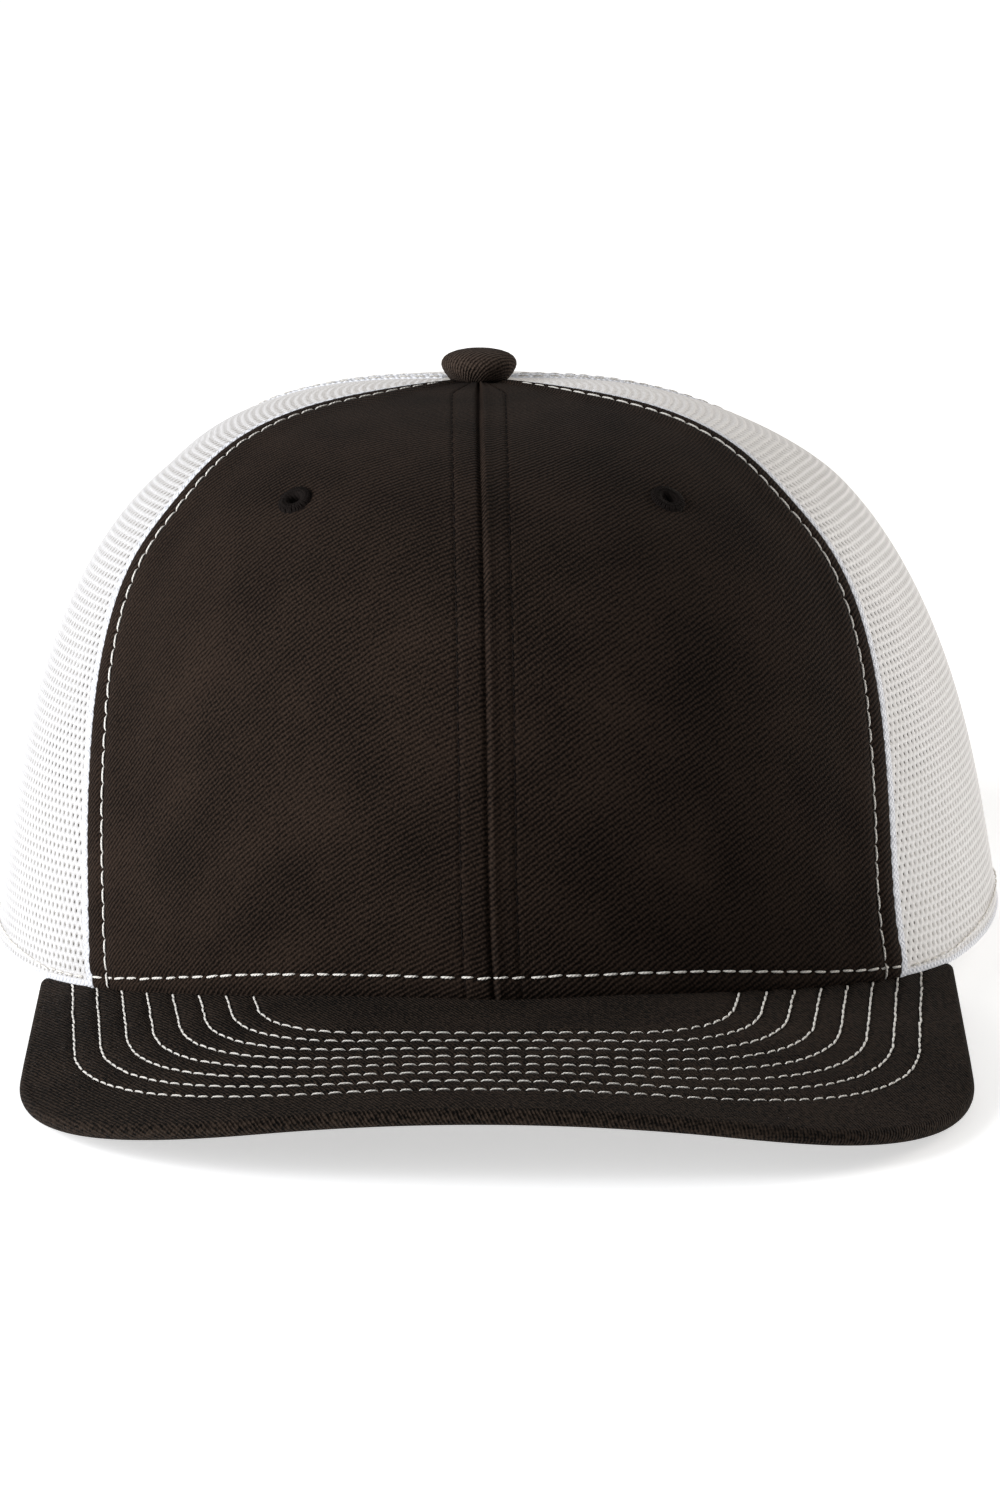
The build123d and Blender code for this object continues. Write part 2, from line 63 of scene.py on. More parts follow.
# ---------------------------------------------------------------- sizes of the cap, mm
RIM_WIDTH = 190.0
RIM_LENGTH = 196.0
CROWN_HEIGHT = 98.7
BUTTON_BACK = 4.0
BUTTON_LEVEL = 99.1184      # height that the button's profiles are measured from
SIDE_CURVE = (0.16, 3.2)
FRONT_CURVE = (0.05, 3.3)
BACK_CURVE = (0.13, 2.7)
TOP_SPACING = 2.3           # rows lie closer together in height towards the top

TWILL = 0.8
LINING_DEPTH = 1.7
TAPE = 0.6
TAPE_WIDTH = 16.0
TAPE_START = 24.0
SEAM = (62.0, 14.0)         # turn from straight ahead and forward lean of the front side seams
BACK_SEAM = (113.0, 0.0)
# How far the front side seams bow forwards: (share of the height, spread, mm)
SEAM_BOW = ((-0.03, 0.15, -2.4), (0.4, 0.18, 0.8), (0.85, 0.09, 3.2))

VISOR_LENGTH = 69.0
VISOR_FRONT = -RIM_LENGTH / 2 - VISOR_LENGTH
VISOR_FRONT_ARC = 202.0
VISOR_CORNER = (84.4, -48.0)
VISOR_CORNER_ARC = 55.0
VISOR_SIDE_LEAN = -0.2      # degrees, the sides open a little towards the front
VISOR_CREST = 3.2
VISOR_SLOPE = 3.7
VISOR_BENDS = (457.6, 242.5)    # radii over its width at y = -20 and y = -180
VISOR_THICKNESS = 3.1
VISOR_COVER = 0.7           # its cloth
VISOR_INNER = 2.5           # its inner edge, measured in from the crown's face
VISOR_ROW_COUNT = 8

SWEATBAND_INSET = 3.0
SWEATBAND_FOAM = 1.3
SWEATBAND_CLOTH = 0.7
SWEATBAND_HEIGHT = 32.0
SWEATBAND_END = 46.0
ARCH_HALF_WIDTH = 38.0
ARCH_SHOULDER = 8.0

EYELET_X = 34.0
EYELET_HEIGHT = 86.0
EYELET_RADIUS = 3.5
EYELET_HOLE = 1.0
EYELET_STITCHES = 44

TOPSTITCH = 3.0             # from the front panels' outer edges, before edge_scale
RIM_ROW = 4.0               # height of the row over the visor and round the rim
RIM_ROW_FALL = 2.3          # it comes this much lower towards the visor's corners
CENTRE_ROW = 5.0            # rows on both sides of the middle seam
STITCH_PITCH = 3.1

MESH_COLUMN = 1.8           # pitch of the holes in the knitted mesh
MESH_ROW = 1.56
RIDGE = 1.7                 # solid strip of mesh beside a seam

CROWN_LEAN = 3.4            # the soft front leans to the left by this much at the top
CROWN_LIFT = 1.1            # and its top stands up a little
CROWN_PEAK = (0.9, 24.0)    # rise of the crown to the button, and how wide it is
# How the rim waves: (y, rise of both sides, tilt that lifts the right side and drops the left)
RIM_SETTLING = ((-155, 0, -0.8), (-100, 1.1, 0.4), (-48, -0.3, 1.6), (0, 0.8, 3.2), (75, 0, 0))

# ---------------------------------------------------------------- frames
opening = next(m for m in frame["record"]["mounts"] if m["name"] == "head_opening")
RIM_CENTRE = np.array(opening["pos_m"])
UP = -np.array(opening["axis"])
BAND = np.array(((1.0, 0.0, 0.0), np.cross(UP, (1.0, 0.0, 0.0)), UP))


def ease(value, low, high):
    """0 below low, 1 above high, smooth in between."""
    t = np.clip((value - low) / (high - low), 0, 1)
    return t * t * (3 - 2 * t)


def settle(points):
    """The cap as it has settled: the front leans, and the rim waves. The rear stays."""
    x, y, z = points[..., 0], points[..., 1], points[..., 2]
    moved = points.copy()
    ahead = (BUTTON_BACK - y) / (30 + 70 * np.clip(1 - z / CROWN_HEIGHT, 0, 1) ** 0.5)
    lean = np.maximum(ease(ahead, 0, 0.4), ease(z, 80, 96))
    height = np.clip(z / CROWN_HEIGHT, 0, 1)
    moved[..., 0] -= CROWN_LEAN * lean * (0.5 - 0.5 * np.exp(-8 * height) + 0.5 * height**3)
    places, rises, tilts = np.transpose(RIM_SETTLING)
    width = RIM_WIDTH / 2
    side = np.sqrt((x / width) ** 2 + 0.003) - 0.055
    low = 1 - 0.85 * ease(z, 4, 70)
    rise = np.interp(y, places, rises) * side - 0.6 * np.exp(-((x / 20) ** 2)) * ease(y, -150, -100)
    rise = rise * (1 - ease(y, 15, 75)) * low
    moved[..., 2] += rise + np.interp(y, places, tilts) * x / width * low
    from_top = (x**2 + (y - BUTTON_BACK) ** 2) / CROWN_PEAK[1] ** 2
    moved[..., 2] += CROWN_LIFT * ease(z, 50, 97) + CROWN_PEAK[0] * np.exp(-from_top) * ease(z, 80, 94)
    return moved


def world(points):
    """Band points in mm to the row frame in metres."""
    return RIM_CENTRE + (np.asarray(points, float) * MM) @ BAND


# ---------------------------------------------------------------- crown surface
def drawn_in(share, curve):
    """Size of the crown at a share of its height, for a (lean, squareness) curve."""
    lean, squareness = curve
    return (1 - lean * share) * np.maximum(1 - np.abs(share) ** squareness, 0) ** (1 / squareness)


def crown_oval(share):
    """Half-width, half-length and centre of the crown's oval at a share of its height."""
    half_width = RIM_WIDTH / 2 * drawn_in(share, SIDE_CURVE)
    front = BUTTON_BACK - (RIM_LENGTH / 2 + BUTTON_BACK) * drawn_in(share, FRONT_CURVE)
    back = BUTTON_BACK + (RIM_LENGTH / 2 - BUTTON_BACK) * drawn_in(share, BACK_CURVE)
    return half_width, (back - front) / 2, (front + back) / 2


def crown_point(turn, share):
    """Point of the crown's outer face. turn is 0 in front and grows to the right."""
    half_width, half_length, centre = crown_oval(share)
    x = half_width * np.sin(turn)
    y = centre - half_length * np.cos(turn)
    return np.stack(np.broadcast_arrays(x, y, share * CROWN_HEIGHT), axis=-1)


def crown_normal(turn, share):
    """Outward normal of the crown's outer face."""
    share = np.minimum(share, 1 - 1e-7)
    step = 1e-4
    rise = (1 - share) * 0.01
    along = crown_point(turn + step, share) - crown_point(turn - step, share)
    upward = crown_point(turn, share + rise) - crown_point(turn, share - rise)
    normal = np.cross(along, upward)
    return normal / np.linalg.norm(normal, axis=-1, keepdims=True)


def crown_out(turn, share, out):
    """Point at a distance outside the crown's face, or inside it where out is negative."""
    out = np.broadcast_to(out, np.broadcast_shapes(np.shape(turn), np.shape(share)))
    return crown_point(turn, share) + crown_normal(turn, share) * out[..., None]


def seam_bow(share):
    """How far a front side seam lies ahead of its plane."""
    return sum(size * np.exp(-(((share - at) / wide) ** 2)) for at, wide, size in SEAM_BOW)


def seam_turn(share, seam, shift=0.0):
    """Turn at which a seam on the right crosses a height, moved to the front by shift mm.

    seam is the turn of its plane at the button and the plane's lean, in degrees.
    """
    turn, lean = np.radians(seam[0]), np.radians(seam[1])
    half_width, half_length, centre = crown_oval(share)
    across = -np.cos(turn) * np.cos(lean) * half_width
    ahead = np.sin(turn) * np.cos(lean) * half_length
    drop = np.sin(lean) * CROWN_HEIGHT * (1 - share)
    bow = seam_bow(share) if seam == SEAM else 0.0
    offset = shift + bow + np.sin(turn) * np.cos(lean) * (centre - BUTTON_BACK) + drop
    reach = np.maximum(np.hypot(across, ahead), 1e-9)
    return np.arctan2(across, ahead) + np.arccos(np.clip(offset / reach, -1, 1))


def seam_foot(seam, shift=0.0):
    """Share of the height where a seam, or a line beside it, meets the crown's lower edge."""
    return float(rim_share(seam_turn(np.array(0.0), seam, shift)))


def middle_turn(share, x, rear=False):
    """Turn of the line at a distance x from the middle plane, in front or behind."""
    half_width = np.maximum(crown_oval(share)[0], 1e-9)
    turn = np.arcsin(np.clip(x / half_width, -1, 1))
    return np.pi - turn if rear else turn


def near_top(share, radius=13.0):
    """1 on most of the crown, and shrinking to 0 at the button, where the seams close up."""
    return np.clip(crown_oval(share)[0] / radius, 0, 1)


def edge_scale(share):
    """How wide the outer edge of a front panel is turned in, wider lower down."""
    return near_top(share, 22.0) * (1.8 - 0.55 * ease(share, 0.4, 0.85))


def share_at_radius(radius):
    """Share of the height where the crown is that far from the button's axis."""
    shares = np.linspace(1, 0.3, 2000)
    return float(np.interp(radius, crown_oval(shares)[0], shares))


def rising(low, steps, high=1.0):
    """Shares from low to high, closer together towards the top, for one or several lows."""
    low = np.asarray(low, float)
    way = np.linspace(0, 1, steps).reshape(-1, *(1,) * low.ndim)
    way = way * (1 - ((1 - high) / (1 - low)) ** (1 / TOP_SPACING))
    return 1 - (1 - low) * (1 - way) ** TOP_SPACING


# ---------------------------------------------------------------- visor surface and rim
def visor_top(x, y):
    """Height of the visor's top over the rim plane: arcs over its width, joined straight."""
    share = (-20 - y) / 160
    drops = [bend - np.sqrt(bend**2 - np.asarray(x, float) ** 2) for bend in VISOR_BENDS]
    crest = VISOR_CREST + (y + RIM_LENGTH / 2) * math.tan(math.radians(VISOR_SLOPE))
    return crest - drops[0] * (1 - share) - drops[1] * share


RIM_DIP = -float(visor_top(*VISOR_CORNER)) / (RIM_LENGTH / 2 - VISOR_CORNER[1])


def rim_share(turn):
    """Share of the height where the crown ends below, on the visor or at the rim."""
    share = np.zeros_like(np.asarray(turn, float))
    for _ in range(6):
        point = crown_point(turn, share)
        x, y = point[..., 0], point[..., 1]
        low = np.where(y < VISOR_CORNER[1], visor_top(x, y), RIM_DIP * (y - RIM_LENGTH / 2))
        share = low / CROWN_HEIGHT
    return share


def visor_outline(side_point, lean, front_inset, corner):
    """Right half of a line round the visor, from the front middle to side_point at the rear."""
    lean = math.radians(lean)
    forward = np.array((-math.sin(lean), -math.cos(lean)))
    inward = np.array((-math.cos(lean), math.sin(lean)))
    arc = VISOR_FRONT_ARC - front_inset
    arc_centre = np.array((0.0, VISOR_FRONT + VISOR_FRONT_ARC))
    start = np.array(side_point) + corner * inward - arc_centre
    along = start @ forward
    reach = -along + math.sqrt(along**2 - start @ start + (arc - corner) ** 2)
    centre = arc_centre + start + reach * forward
    toward = (centre - arc_centre) / (arc - corner)
    joint = math.atan2(toward[0], -toward[1])
    turns = np.linspace(0, joint, 90)[:-1]
    front = arc_centre + arc * np.stack((np.sin(turns), -np.cos(turns)), axis=-1)
    turns = np.linspace(joint, math.pi / 2 - lean, 50)
    bend = centre + corner * np.stack((np.sin(turns), -np.cos(turns)), axis=-1)
    straight = np.linspace(bend[-1], side_point, 60)[1:]
    return np.concatenate((front, bend, straight))


def both_halves(line):
    """A line from the middle to the right, with its mirror image before it."""
    left = line[::-1] * np.array((-1.0,) + (1.0,) * (line.shape[-1] - 1))
    return np.concatenate((left[:-1], line))


def along_line(line, distances):
    """Points at distances along a polyline."""
    steps = np.linalg.norm(np.diff(line, axis=0), axis=1)
    way = np.concatenate(((0,), np.cumsum(steps)))
    return np.stack([np.interp(distances, way, line[:, i]) for i in range(line.shape[1])], axis=-1)


def line_length(line):
    return float(np.linalg.norm(np.diff(line, axis=0), axis=1).sum())


# ---------------------------------------------------------------- materials
def link(tree, value, socket):
    """Feeds a value or another socket into a socket."""
    if isinstance(value, bpy.types.NodeSocket):
        tree.links.new(value, socket)
    else:
        socket.default_value = value


def feed(tree, target, inputs):
    """Feeds a node's inputs by name or number, each with a value or a socket."""
    for key, value in inputs.items():
        link(tree, value, target.inputs[key])


def node(tree, kind, inputs=None, **settings):
    """A shader node with its settings and inputs, each input a value or a socket."""
    made = tree.nodes.new("ShaderNode" + kind)
    for key, value in settings.items():
        setattr(made, key, value)
    feed(tree, made, inputs or {})
    return made


def calc(tree, operation, *values):
    """A sum on values and sockets."""
    return node(tree, "Math", dict(enumerate(values)), operation=operation).outputs[0]


def noise(tree, vector, scale, detail=3.0):
    inputs = {"Vector": vector, "Scale": scale, "Detail": detail}
    return node(tree, "TexNoise", inputs).outputs[0]


def ramp(tree, factor, *stops):
    """A colour ramp with stops of (place, colour)."""
    made = node(tree, "ValToRGB", {0: factor})
    elements = made.color_ramp.elements
    for index, (place, colour) in enumerate(stops):
        element = elements[index] if index < 2 else elements.new(place)
        element.position = place
        element.color = (*colour, 1.0)
    return made.outputs[0]


def material(name, roughness, sheen=0.0, specular=0.5):
    """An empty material: its name, tree and shader."""
    made = bpy.data.materials.new(name)
    made.use_nodes = True
    shader = made.node_tree.nodes["Principled BSDF"]
    feed(made.node_tree, shader, {
        "Roughness": roughness, "Sheen Weight": sheen, "Sheen Roughness": 0.6,
        "Specular IOR Level": specular,
    })
    return made, made.node_tree, shader


def bump(tree, shader, height, distance, strength=1.0):
    inputs = {"Height": height, "Distance": distance, "Strength": strength}
    link(tree, node(tree, "Bump", inputs).outputs[0], shader.inputs["Normal"])


def cloth_uv(tree):
    """The cloth's own coordinates, in mm."""
    return node(tree, "UVMap", uv_map="cloth").outputs[0]


def object_mm(tree):
    """The object's own coordinates, in mm."""
    place = node(tree, "TexCoord").outputs["Object"]
    return node(tree, "VectorMath", {0: place, "Scale": 1 / MM}, operation="SCALE").outputs[0]


def twill(name, rib_angle, pitch, dark, light, rib_share=0.8, fleck=0.0, depth=0.00016):
    """Twill: slanted ribs of yarn, uneven along and across, with a faint fuzz."""
    made, tree, shader = material(name, 0.9, 0.015, 0.05)
    uv = cloth_uv(tree)
    parts = node(tree, "SeparateXYZ", {0: uv})
    angle = math.radians(rib_angle)
    u, v = parts.outputs[0], parts.outputs[1]
    across = calc(
        tree, "ADD",
        calc(tree, "MULTIPLY", u, -math.sin(angle) / pitch),
        calc(tree, "MULTIPLY", v, math.cos(angle) / pitch),
    )
    along = calc(
        tree, "ADD",
        calc(tree, "MULTIPLY", u, math.cos(angle)),
        calc(tree, "MULTIPLY", v, math.sin(angle)),
    )
    wander = calc(tree, "MULTIPLY", noise(tree, uv, 0.35, 4.0), 0.9)
    phase = calc(tree, "ADD", across, wander)
    ribs = calc(tree, "SINE", calc(tree, "MULTIPLY", phase, 2 * math.pi))
    ribs = calc(tree, "MULTIPLY_ADD", ribs, 0.5, 0.5)
    slant = calc(tree, "ADD", calc(tree, "MULTIPLY", along, 1 / 0.62), calc(tree, "FLOOR", phase))
    yarns = calc(tree, "SINE", calc(tree, "MULTIPLY", slant, 2 * math.pi))
    yarns = calc(tree, "MULTIPLY_ADD", yarns, 0.17, 0.83)
    fuzz = calc(tree, "MULTIPLY_ADD", noise(tree, uv, 1.9, 4.0), 2.2, -0.6)
    height = calc(tree, "MULTIPLY_ADD", fuzz, 0.5, calc(tree, "MULTIPLY", ribs, yarns))
    patches = noise(tree, uv, 0.06, 4.0)
    tone = calc(tree, "MULTIPLY", calc(tree, "MULTIPLY_ADD", ribs, rib_share, 1 - rib_share), yarns)
    tone = calc(tree, "MULTIPLY_ADD", fuzz, 0.35, calc(tree, "MULTIPLY", tone, 0.5))
    tone = calc(tree, "MULTIPLY_ADD", calc(tree, "SUBTRACT", patches, 0.5), 0.4, tone)
    lint = calc(tree, "SUBTRACT", noise(tree, uv, 1.1, 6.0), 0.5)
    tone = calc(tree, "MULTIPLY_ADD", lint, fleck, tone)
    link(tree, ramp(tree, tone, (0.22, dark), (0.66, light)), shader.inputs["Base Color"])
    bump(tree, shader, height, depth)
    return made


def plain_weave(name, pitch, dark, light, roughness=0.8, sheen=0.2, depth=0.0001, glow=0.0):
    """A plain weave of two crossing sets of yarn, with an optional painted glow that brightens it."""
    made, tree, shader = material(name, roughness, sheen, 0.3)
    uv = cloth_uv(tree)
    parts = node(tree, "SeparateXYZ", {0: uv})
    waves = [
        calc(tree, "SINE", calc(tree, "MULTIPLY", parts.outputs[i], math.pi / pitch))
        for i in (0, 1)
    ]
    weave = calc(tree, "MULTIPLY_ADD", calc(tree, "MULTIPLY", *waves), 0.5, 0.5)
    fuzz = noise(tree, uv, 1.4, 4.0)
    patches = noise(tree, uv, 0.08, 3.0)
    tone = calc(tree, "MULTIPLY_ADD", weave, 0.5, calc(tree, "MULTIPLY", fuzz, 0.4))
    tone = calc(tree, "MULTIPLY_ADD", patches, 0.25, tone)
    colour = ramp(tree, tone, (0.2, dark), (0.9, light))
    # painted light: glow makes the weave give off light of its own
    feed(tree, shader, {"Base Color": colour, "Emission Color": colour, "Emission Strength": glow})
    bump(tree, shader, calc(tree, "MULTIPLY_ADD", fuzz, 0.4, weave), depth)
    return made


def thread(name, dark, light, roughness=0.55, sheen=0.15, specular=0.4):
    """Sewing thread: two plies twisted together, seen as slanted lines."""
    made, tree, shader = material(name, roughness, sheen, specular)
    uv = cloth_uv(tree)
    parts = node(tree, "SeparateXYZ", {0: uv})
    turns = calc(tree, "MULTIPLY_ADD", parts.outputs[0], 1 / 0.7, parts.outputs[1])
    plies = calc(tree, "ABSOLUTE", calc(tree, "SINE", calc(tree, "MULTIPLY", turns, math.pi)))
    fuzz = noise(tree, object_mm(tree), 1.1, 3.0)
    tone = calc(tree, "MULTIPLY_ADD", plies, 0.55, calc(tree, "MULTIPLY", fuzz, 0.6))
    link(tree, ramp(tree, tone, (0.15, dark), (0.8, light)), shader.inputs["Base Color"])
    bump(tree, shader, plies, 0.00008)
    return made


def knit(name, dark, light):
    """White knitted polyester, with fine yarns that run up and down, and a painted warm glow that brightens
    it.
    """
    made, tree, shader = material(name, 0.6, 0.25, 0.35)
    place = object_mm(tree)
    stretch = node(tree, "Mapping", {"Vector": place, "Scale": (3.2, 3.2, 0.9)}).outputs[0]
    yarns = noise(tree, stretch, 1.0, 3.0)
    patches = noise(tree, place, 0.03, 3.0)
    tone = calc(tree, "MULTIPLY_ADD", yarns, 0.7, calc(tree, "MULTIPLY", patches, 0.4))
    feed(tree, shader, {
        "Base Color": ramp(tree, tone, (0.25, dark), (0.75, light)),
        # painted light: the knit glows warm by itself, brightening the mesh as extra lamplight would
        "Emission Color": ramp(tree, tone, (0.25, (0.9, 0.82, 0.74)), (0.75, (1.0, 0.94, 0.87))),
        "Emission Strength": 0.34,
        "Subsurface Weight": 0.15,
        "Subsurface Radius": (0.002, 0.002, 0.002),
        "Subsurface Scale": 1.0,
    })
    bump(tree, shader, yarns, 0.00012)
    return made


def plastic(name, dark, light, roughness, milky=0.0):
    """Moulded plastic: a fine satin grain, scuffs and slight changes of tone."""
    made, tree, shader = material(name, roughness, 0.0, 0.45)
    place = object_mm(tree)
    grain = noise(tree, place, 2.2, 5.0)
    tone = noise(tree, place, 0.09, 4.0)
    feed(tree, shader, {
        "Base Color": ramp(tree, tone, (0.3, dark), (0.7, light)),
        "Roughness": calc(
            tree, "MULTIPLY_ADD", noise(tree, place, 0.35, 6.0), 0.25, roughness - 0.12
        ),
        "Subsurface Weight": milky,
        "Subsurface Radius": (0.003, 0.003, 0.003),
        "Subsurface Scale": 1.0,
    })
    bump(tree, shader, grain, 0.00002)
    return made


def steel(name):
    """Plain pressed steel, slightly dull."""
    made, tree, shader = material(name, 0.35)
    place = object_mm(tree)
    tone = noise(tree, place, 0.5, 4.0)
    stops = ((0.3, (0.42, 0.42, 0.43)), (0.7, (0.62, 0.62, 0.63)))
    feed(tree, shader, {
        "Base Color": ramp(tree, tone, *stops),
        "Roughness": calc(tree, "MULTIPLY_ADD", noise(tree, place, 3.0, 4.0), 0.3, 0.2),
        "Metallic": 1.0,
    })
    bump(tree, shader, tone, 0.00002)
    return made


front_twill = twill("front_twill_look", 37, 0.86, (0.0033, 0.002, 0.0014), (0.038, 0.0245, 0.0175))
button_twill = twill(
    "button_twill_look", 48, 0.72, (0.007, 0.005, 0.004), (0.085, 0.06, 0.046), depth=0.0002
)
visor_twill = twill(
    "visor_twill_look", -65, 0.68, (0.0008, 0.0005, 0.0003), (0.036, 0.0245, 0.0175), 0.7, 1.3, 0.0003
)
band_twill = twill("band_twill", 40, 0.7, (0.012, 0.011, 0.01), (0.055, 0.05, 0.047))
tape_weave = plain_weave("tape_weave", 0.45, (0.012, 0.011, 0.0105), (0.05, 0.047, 0.045))
buckram_weave = plain_weave("buckram_weave", 0.9, (0.4, 0.38, 0.35), (0.78, 0.76, 0.71), depth=0.0002)
binding_weave = plain_weave("binding_weave", 0.4, (0.55, 0.56, 0.58), (0.84, 0.85, 0.87))
satin_weave = plain_weave("satin_weave", 0.25, (0.6, 0.6, 0.6), (0.88, 0.88, 0.87), 0.35, 0.4, 4e-5)
foam_weave = plain_weave("foam_weave", 1.3, (0.4, 0.4, 0.38), (0.68, 0.68, 0.65))
mesh_knit = knit("mesh_knit", (0.36, 0.37, 0.39), (0.45, 0.46, 0.48))
# painted light: the knit seam strips and hem glow by themselves to look brighter
edge_knit = plain_weave("edge_knit", 0.62, (0.42, 0.43, 0.46), (0.85, 0.86, 0.9), depth=0.0003, glow=0.3)
white_thread = thread("white_thread", (0.62, 0.58, 0.52), (0.95, 0.92, 0.86))
black_thread = thread("black_thread", (0.002, 0.0016, 0.0014), (0.011, 0.008, 0.007), 0.8, 0.0, 0.08)
strap_plastic = plastic("strap_plastic", (0.72, 0.73, 0.74), (0.84, 0.85, 0.86), 0.42, 0.2)
board_plastic = plastic("board_plastic", (0.66, 0.66, 0.64), (0.78, 0.78, 0.76), 0.5)
button_steel = steel("button_steel")


# ---------------------------------------------------------------- mesh building
def make(name, points, faces, skin, replaces=(), uv=None, body="crown"):
    """A piece of the cap from band points in mm and lists of faces, each an (n, corners) array."""
    points = settle(np.asarray(points, float))
    corners = np.concatenate([np.asarray(f).ravel() for f in faces])
    sizes = np.concatenate([np.full(len(f), np.shape(f)[1]) for f in faces])
    mesh = bpy.data.meshes.new(name)
    mesh.vertices.add(len(points))
    mesh.vertices.foreach_set("co", world(points).astype(np.float32).ravel())
    mesh.loops.add(len(corners))
    mesh.loops.foreach_set("vertex_index", corners.astype(np.int32))
    mesh.polygons.add(len(sizes))
    starts = np.concatenate(((0,), np.cumsum(sizes)[:-1]))
    mesh.polygons.foreach_set("loop_start", starts.astype(np.int32))
    mesh.polygons.foreach_set("use_smooth", np.ones(len(sizes), bool))
    if uv is not None:
        layer = mesh.uv_layers.new(name="cloth")
        layer.data.foreach_set("uv", np.asarray(uv)[corners].astype(np.float32).ravel())
    mesh.update(calc_edges=True)
    mesh.validate()
    mesh.materials.append(skin)
    piece = bpy.data.objects.new(name, mesh)
    bpy.context.scene.collection.objects.link(piece)
    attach(piece, body)
    if replaces:
        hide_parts(*replaces)
    return piece


def grid_faces(rows, columns, start=0, ring=False, flip=False):
    """Quads of a grid of points stored row by row. A ring joins the last column to the first."""
    index = start + np.arange(rows * columns).reshape(rows, columns)
    if ring:
        index = np.concatenate((index, index[:, :1]), axis=1)
    quads = np.stack((index[:-1, :-1], index[:-1, 1:], index[1:, 1:], index[1:, :-1]), axis=-1)
    quads = quads.reshape(-1, 4)
    return quads[:, ::-1] if flip else quads


def shell_parts(outer, inner, flip=False):
    """Points and quads of a closed sheet between two grids of points."""
    rows, columns = outer.shape[:2]
    count = rows * columns
    index = np.arange(count).reshape(rows, columns)
    edge = np.concatenate((index[0], index[1:, -1], index[-1, -2::-1], index[-2:0:-1, 0]))
    following = np.roll(edge, -1)
    wall = np.stack((edge, edge + count, following + count, following), axis=-1)
    faces = [
        grid_faces(rows, columns, flip=flip),
        grid_faces(rows, columns, start=count, flip=not flip),
        wall[:, ::-1] if flip else wall,
    ]
    points = np.concatenate((outer.reshape(-1, 3), inner.reshape(-1, 3)))
    return points, np.concatenate(faces)


def grid_uv(grid):
    """Cloth coordinates of a grid: distance along its rows and up its columns, in mm."""
    across = np.linalg.norm(np.diff(grid, axis=1), axis=-1)
    upward = np.linalg.norm(np.diff(grid, axis=0), axis=-1)
    u = np.concatenate((np.zeros((len(grid), 1)), np.cumsum(across, axis=1)), axis=1)
    v = np.concatenate((np.zeros((1, grid.shape[1])), np.cumsum(upward, axis=0)), axis=0)
    return np.stack((u, v), axis=-1)


def shell_uv(grid):
    """Cloth coordinates of a closed sheet, the same on both of its faces."""
    return np.tile(grid_uv(grid).reshape(-1, 2), (2, 1))


def joined(parts):
    """Several (points, faces, ...) as one, with each kind of faces joined on its own."""
    starts = np.cumsum([0] + [len(part[0]) for part in parts])
    kinds = zip(*(part[1:] for part in parts))
    faces = [np.concatenate([f + start for f, start in zip(kind, starts)]) for kind in kinds]
    return np.concatenate([part[0] for part in parts]), *faces


def loop_parts(sections):
    """Points, quads and end faces of closed sections, joined one after another."""
    count, corners = sections.shape[:2]
    index = np.arange(count * corners).reshape(count, corners)
    quads = grid_faces(count, corners, ring=True)
    ends = np.stack((index[0][::-1], index[-1]))
    return sections.reshape(-1, 3), quads, ends


def loop_uv(sections):
    """Cloth coordinates of closed sections: distance along, and round each of them."""
    along = np.linalg.norm(np.diff(sections.mean(axis=1), axis=0), axis=-1)
    along = np.concatenate(((0,), np.cumsum(along)))
    steps = np.linalg.norm(np.roll(sections, -1, axis=1) - sections, axis=-1)
    round_it = np.concatenate((np.zeros((len(sections), 1)), np.cumsum(steps, axis=1)[:, :-1]), axis=1)
    return np.stack(np.broadcast_arrays(along[:, None], round_it), axis=-1).reshape(-1, 2)


# ---------------------------------------------------------------- stitches
STITCH_RINGS = np.array((-0.93, -0.62, 0.0, 0.62, 0.93))
STITCH_SIDES = 7


def stitch_parts(centres, tangents, normals, lengths, width, lift):
    """Capsules of thread that rise from the cloth, run along it and dive in again."""
    sideways = np.cross(normals, tangents)
    turns = np.linspace(0, 2 * np.pi, STITCH_SIDES, endpoint=False)
    places = np.concatenate(((-1.0,), STITCH_RINGS, (1.0,)))
    girth = np.sqrt(1 - np.abs(places) ** 3.2)
    rise = lift * (1 - np.abs(places) ** 4) - lift * 1.6 * np.abs(places) ** 6
    ring = np.stack((np.cos(turns), np.sin(turns)), axis=-1)
    points, uv = [], []
    for place, size, height in zip(places, girth, rise):
        sides = ring if size > 1e-6 else np.zeros((1, 2))
        for across, up in sides * size * width / 2:
            shift = place * lengths[:, None] / 2 * tangents + across * sideways
            points.append(centres + shift + (up * 0.8 + height) * normals)
            angle = math.atan2(up, across) / math.pi
            uv.append(np.stack((place * lengths / 2, np.full(len(lengths), angle)), axis=-1))
    points = np.stack(points, axis=1)
    uv = np.stack(uv, axis=1)
    count = points.shape[1]
    rings = len(STITCH_RINGS)
    quads = grid_faces(rings, STITCH_SIDES, start=1, ring=True)
    first = np.arange(1, 1 + STITCH_SIDES)
    last = first + (rings - 1) * STITCH_SIDES
    tips = np.concatenate((
        np.stack((np.zeros_like(first), np.roll(first, -1), first), axis=-1),
        np.stack((np.full_like(last, count - 1), last, np.roll(last, -1)), axis=-1),
    ))
    offsets = (np.arange(len(centres)) * count)[:, None, None]
    quads = (quads + offsets).reshape(-1, 4)
    tips = (tips + offsets).reshape(-1, 3)
    return points.reshape(-1, 3), quads, tips, uv.reshape(-1, 2)


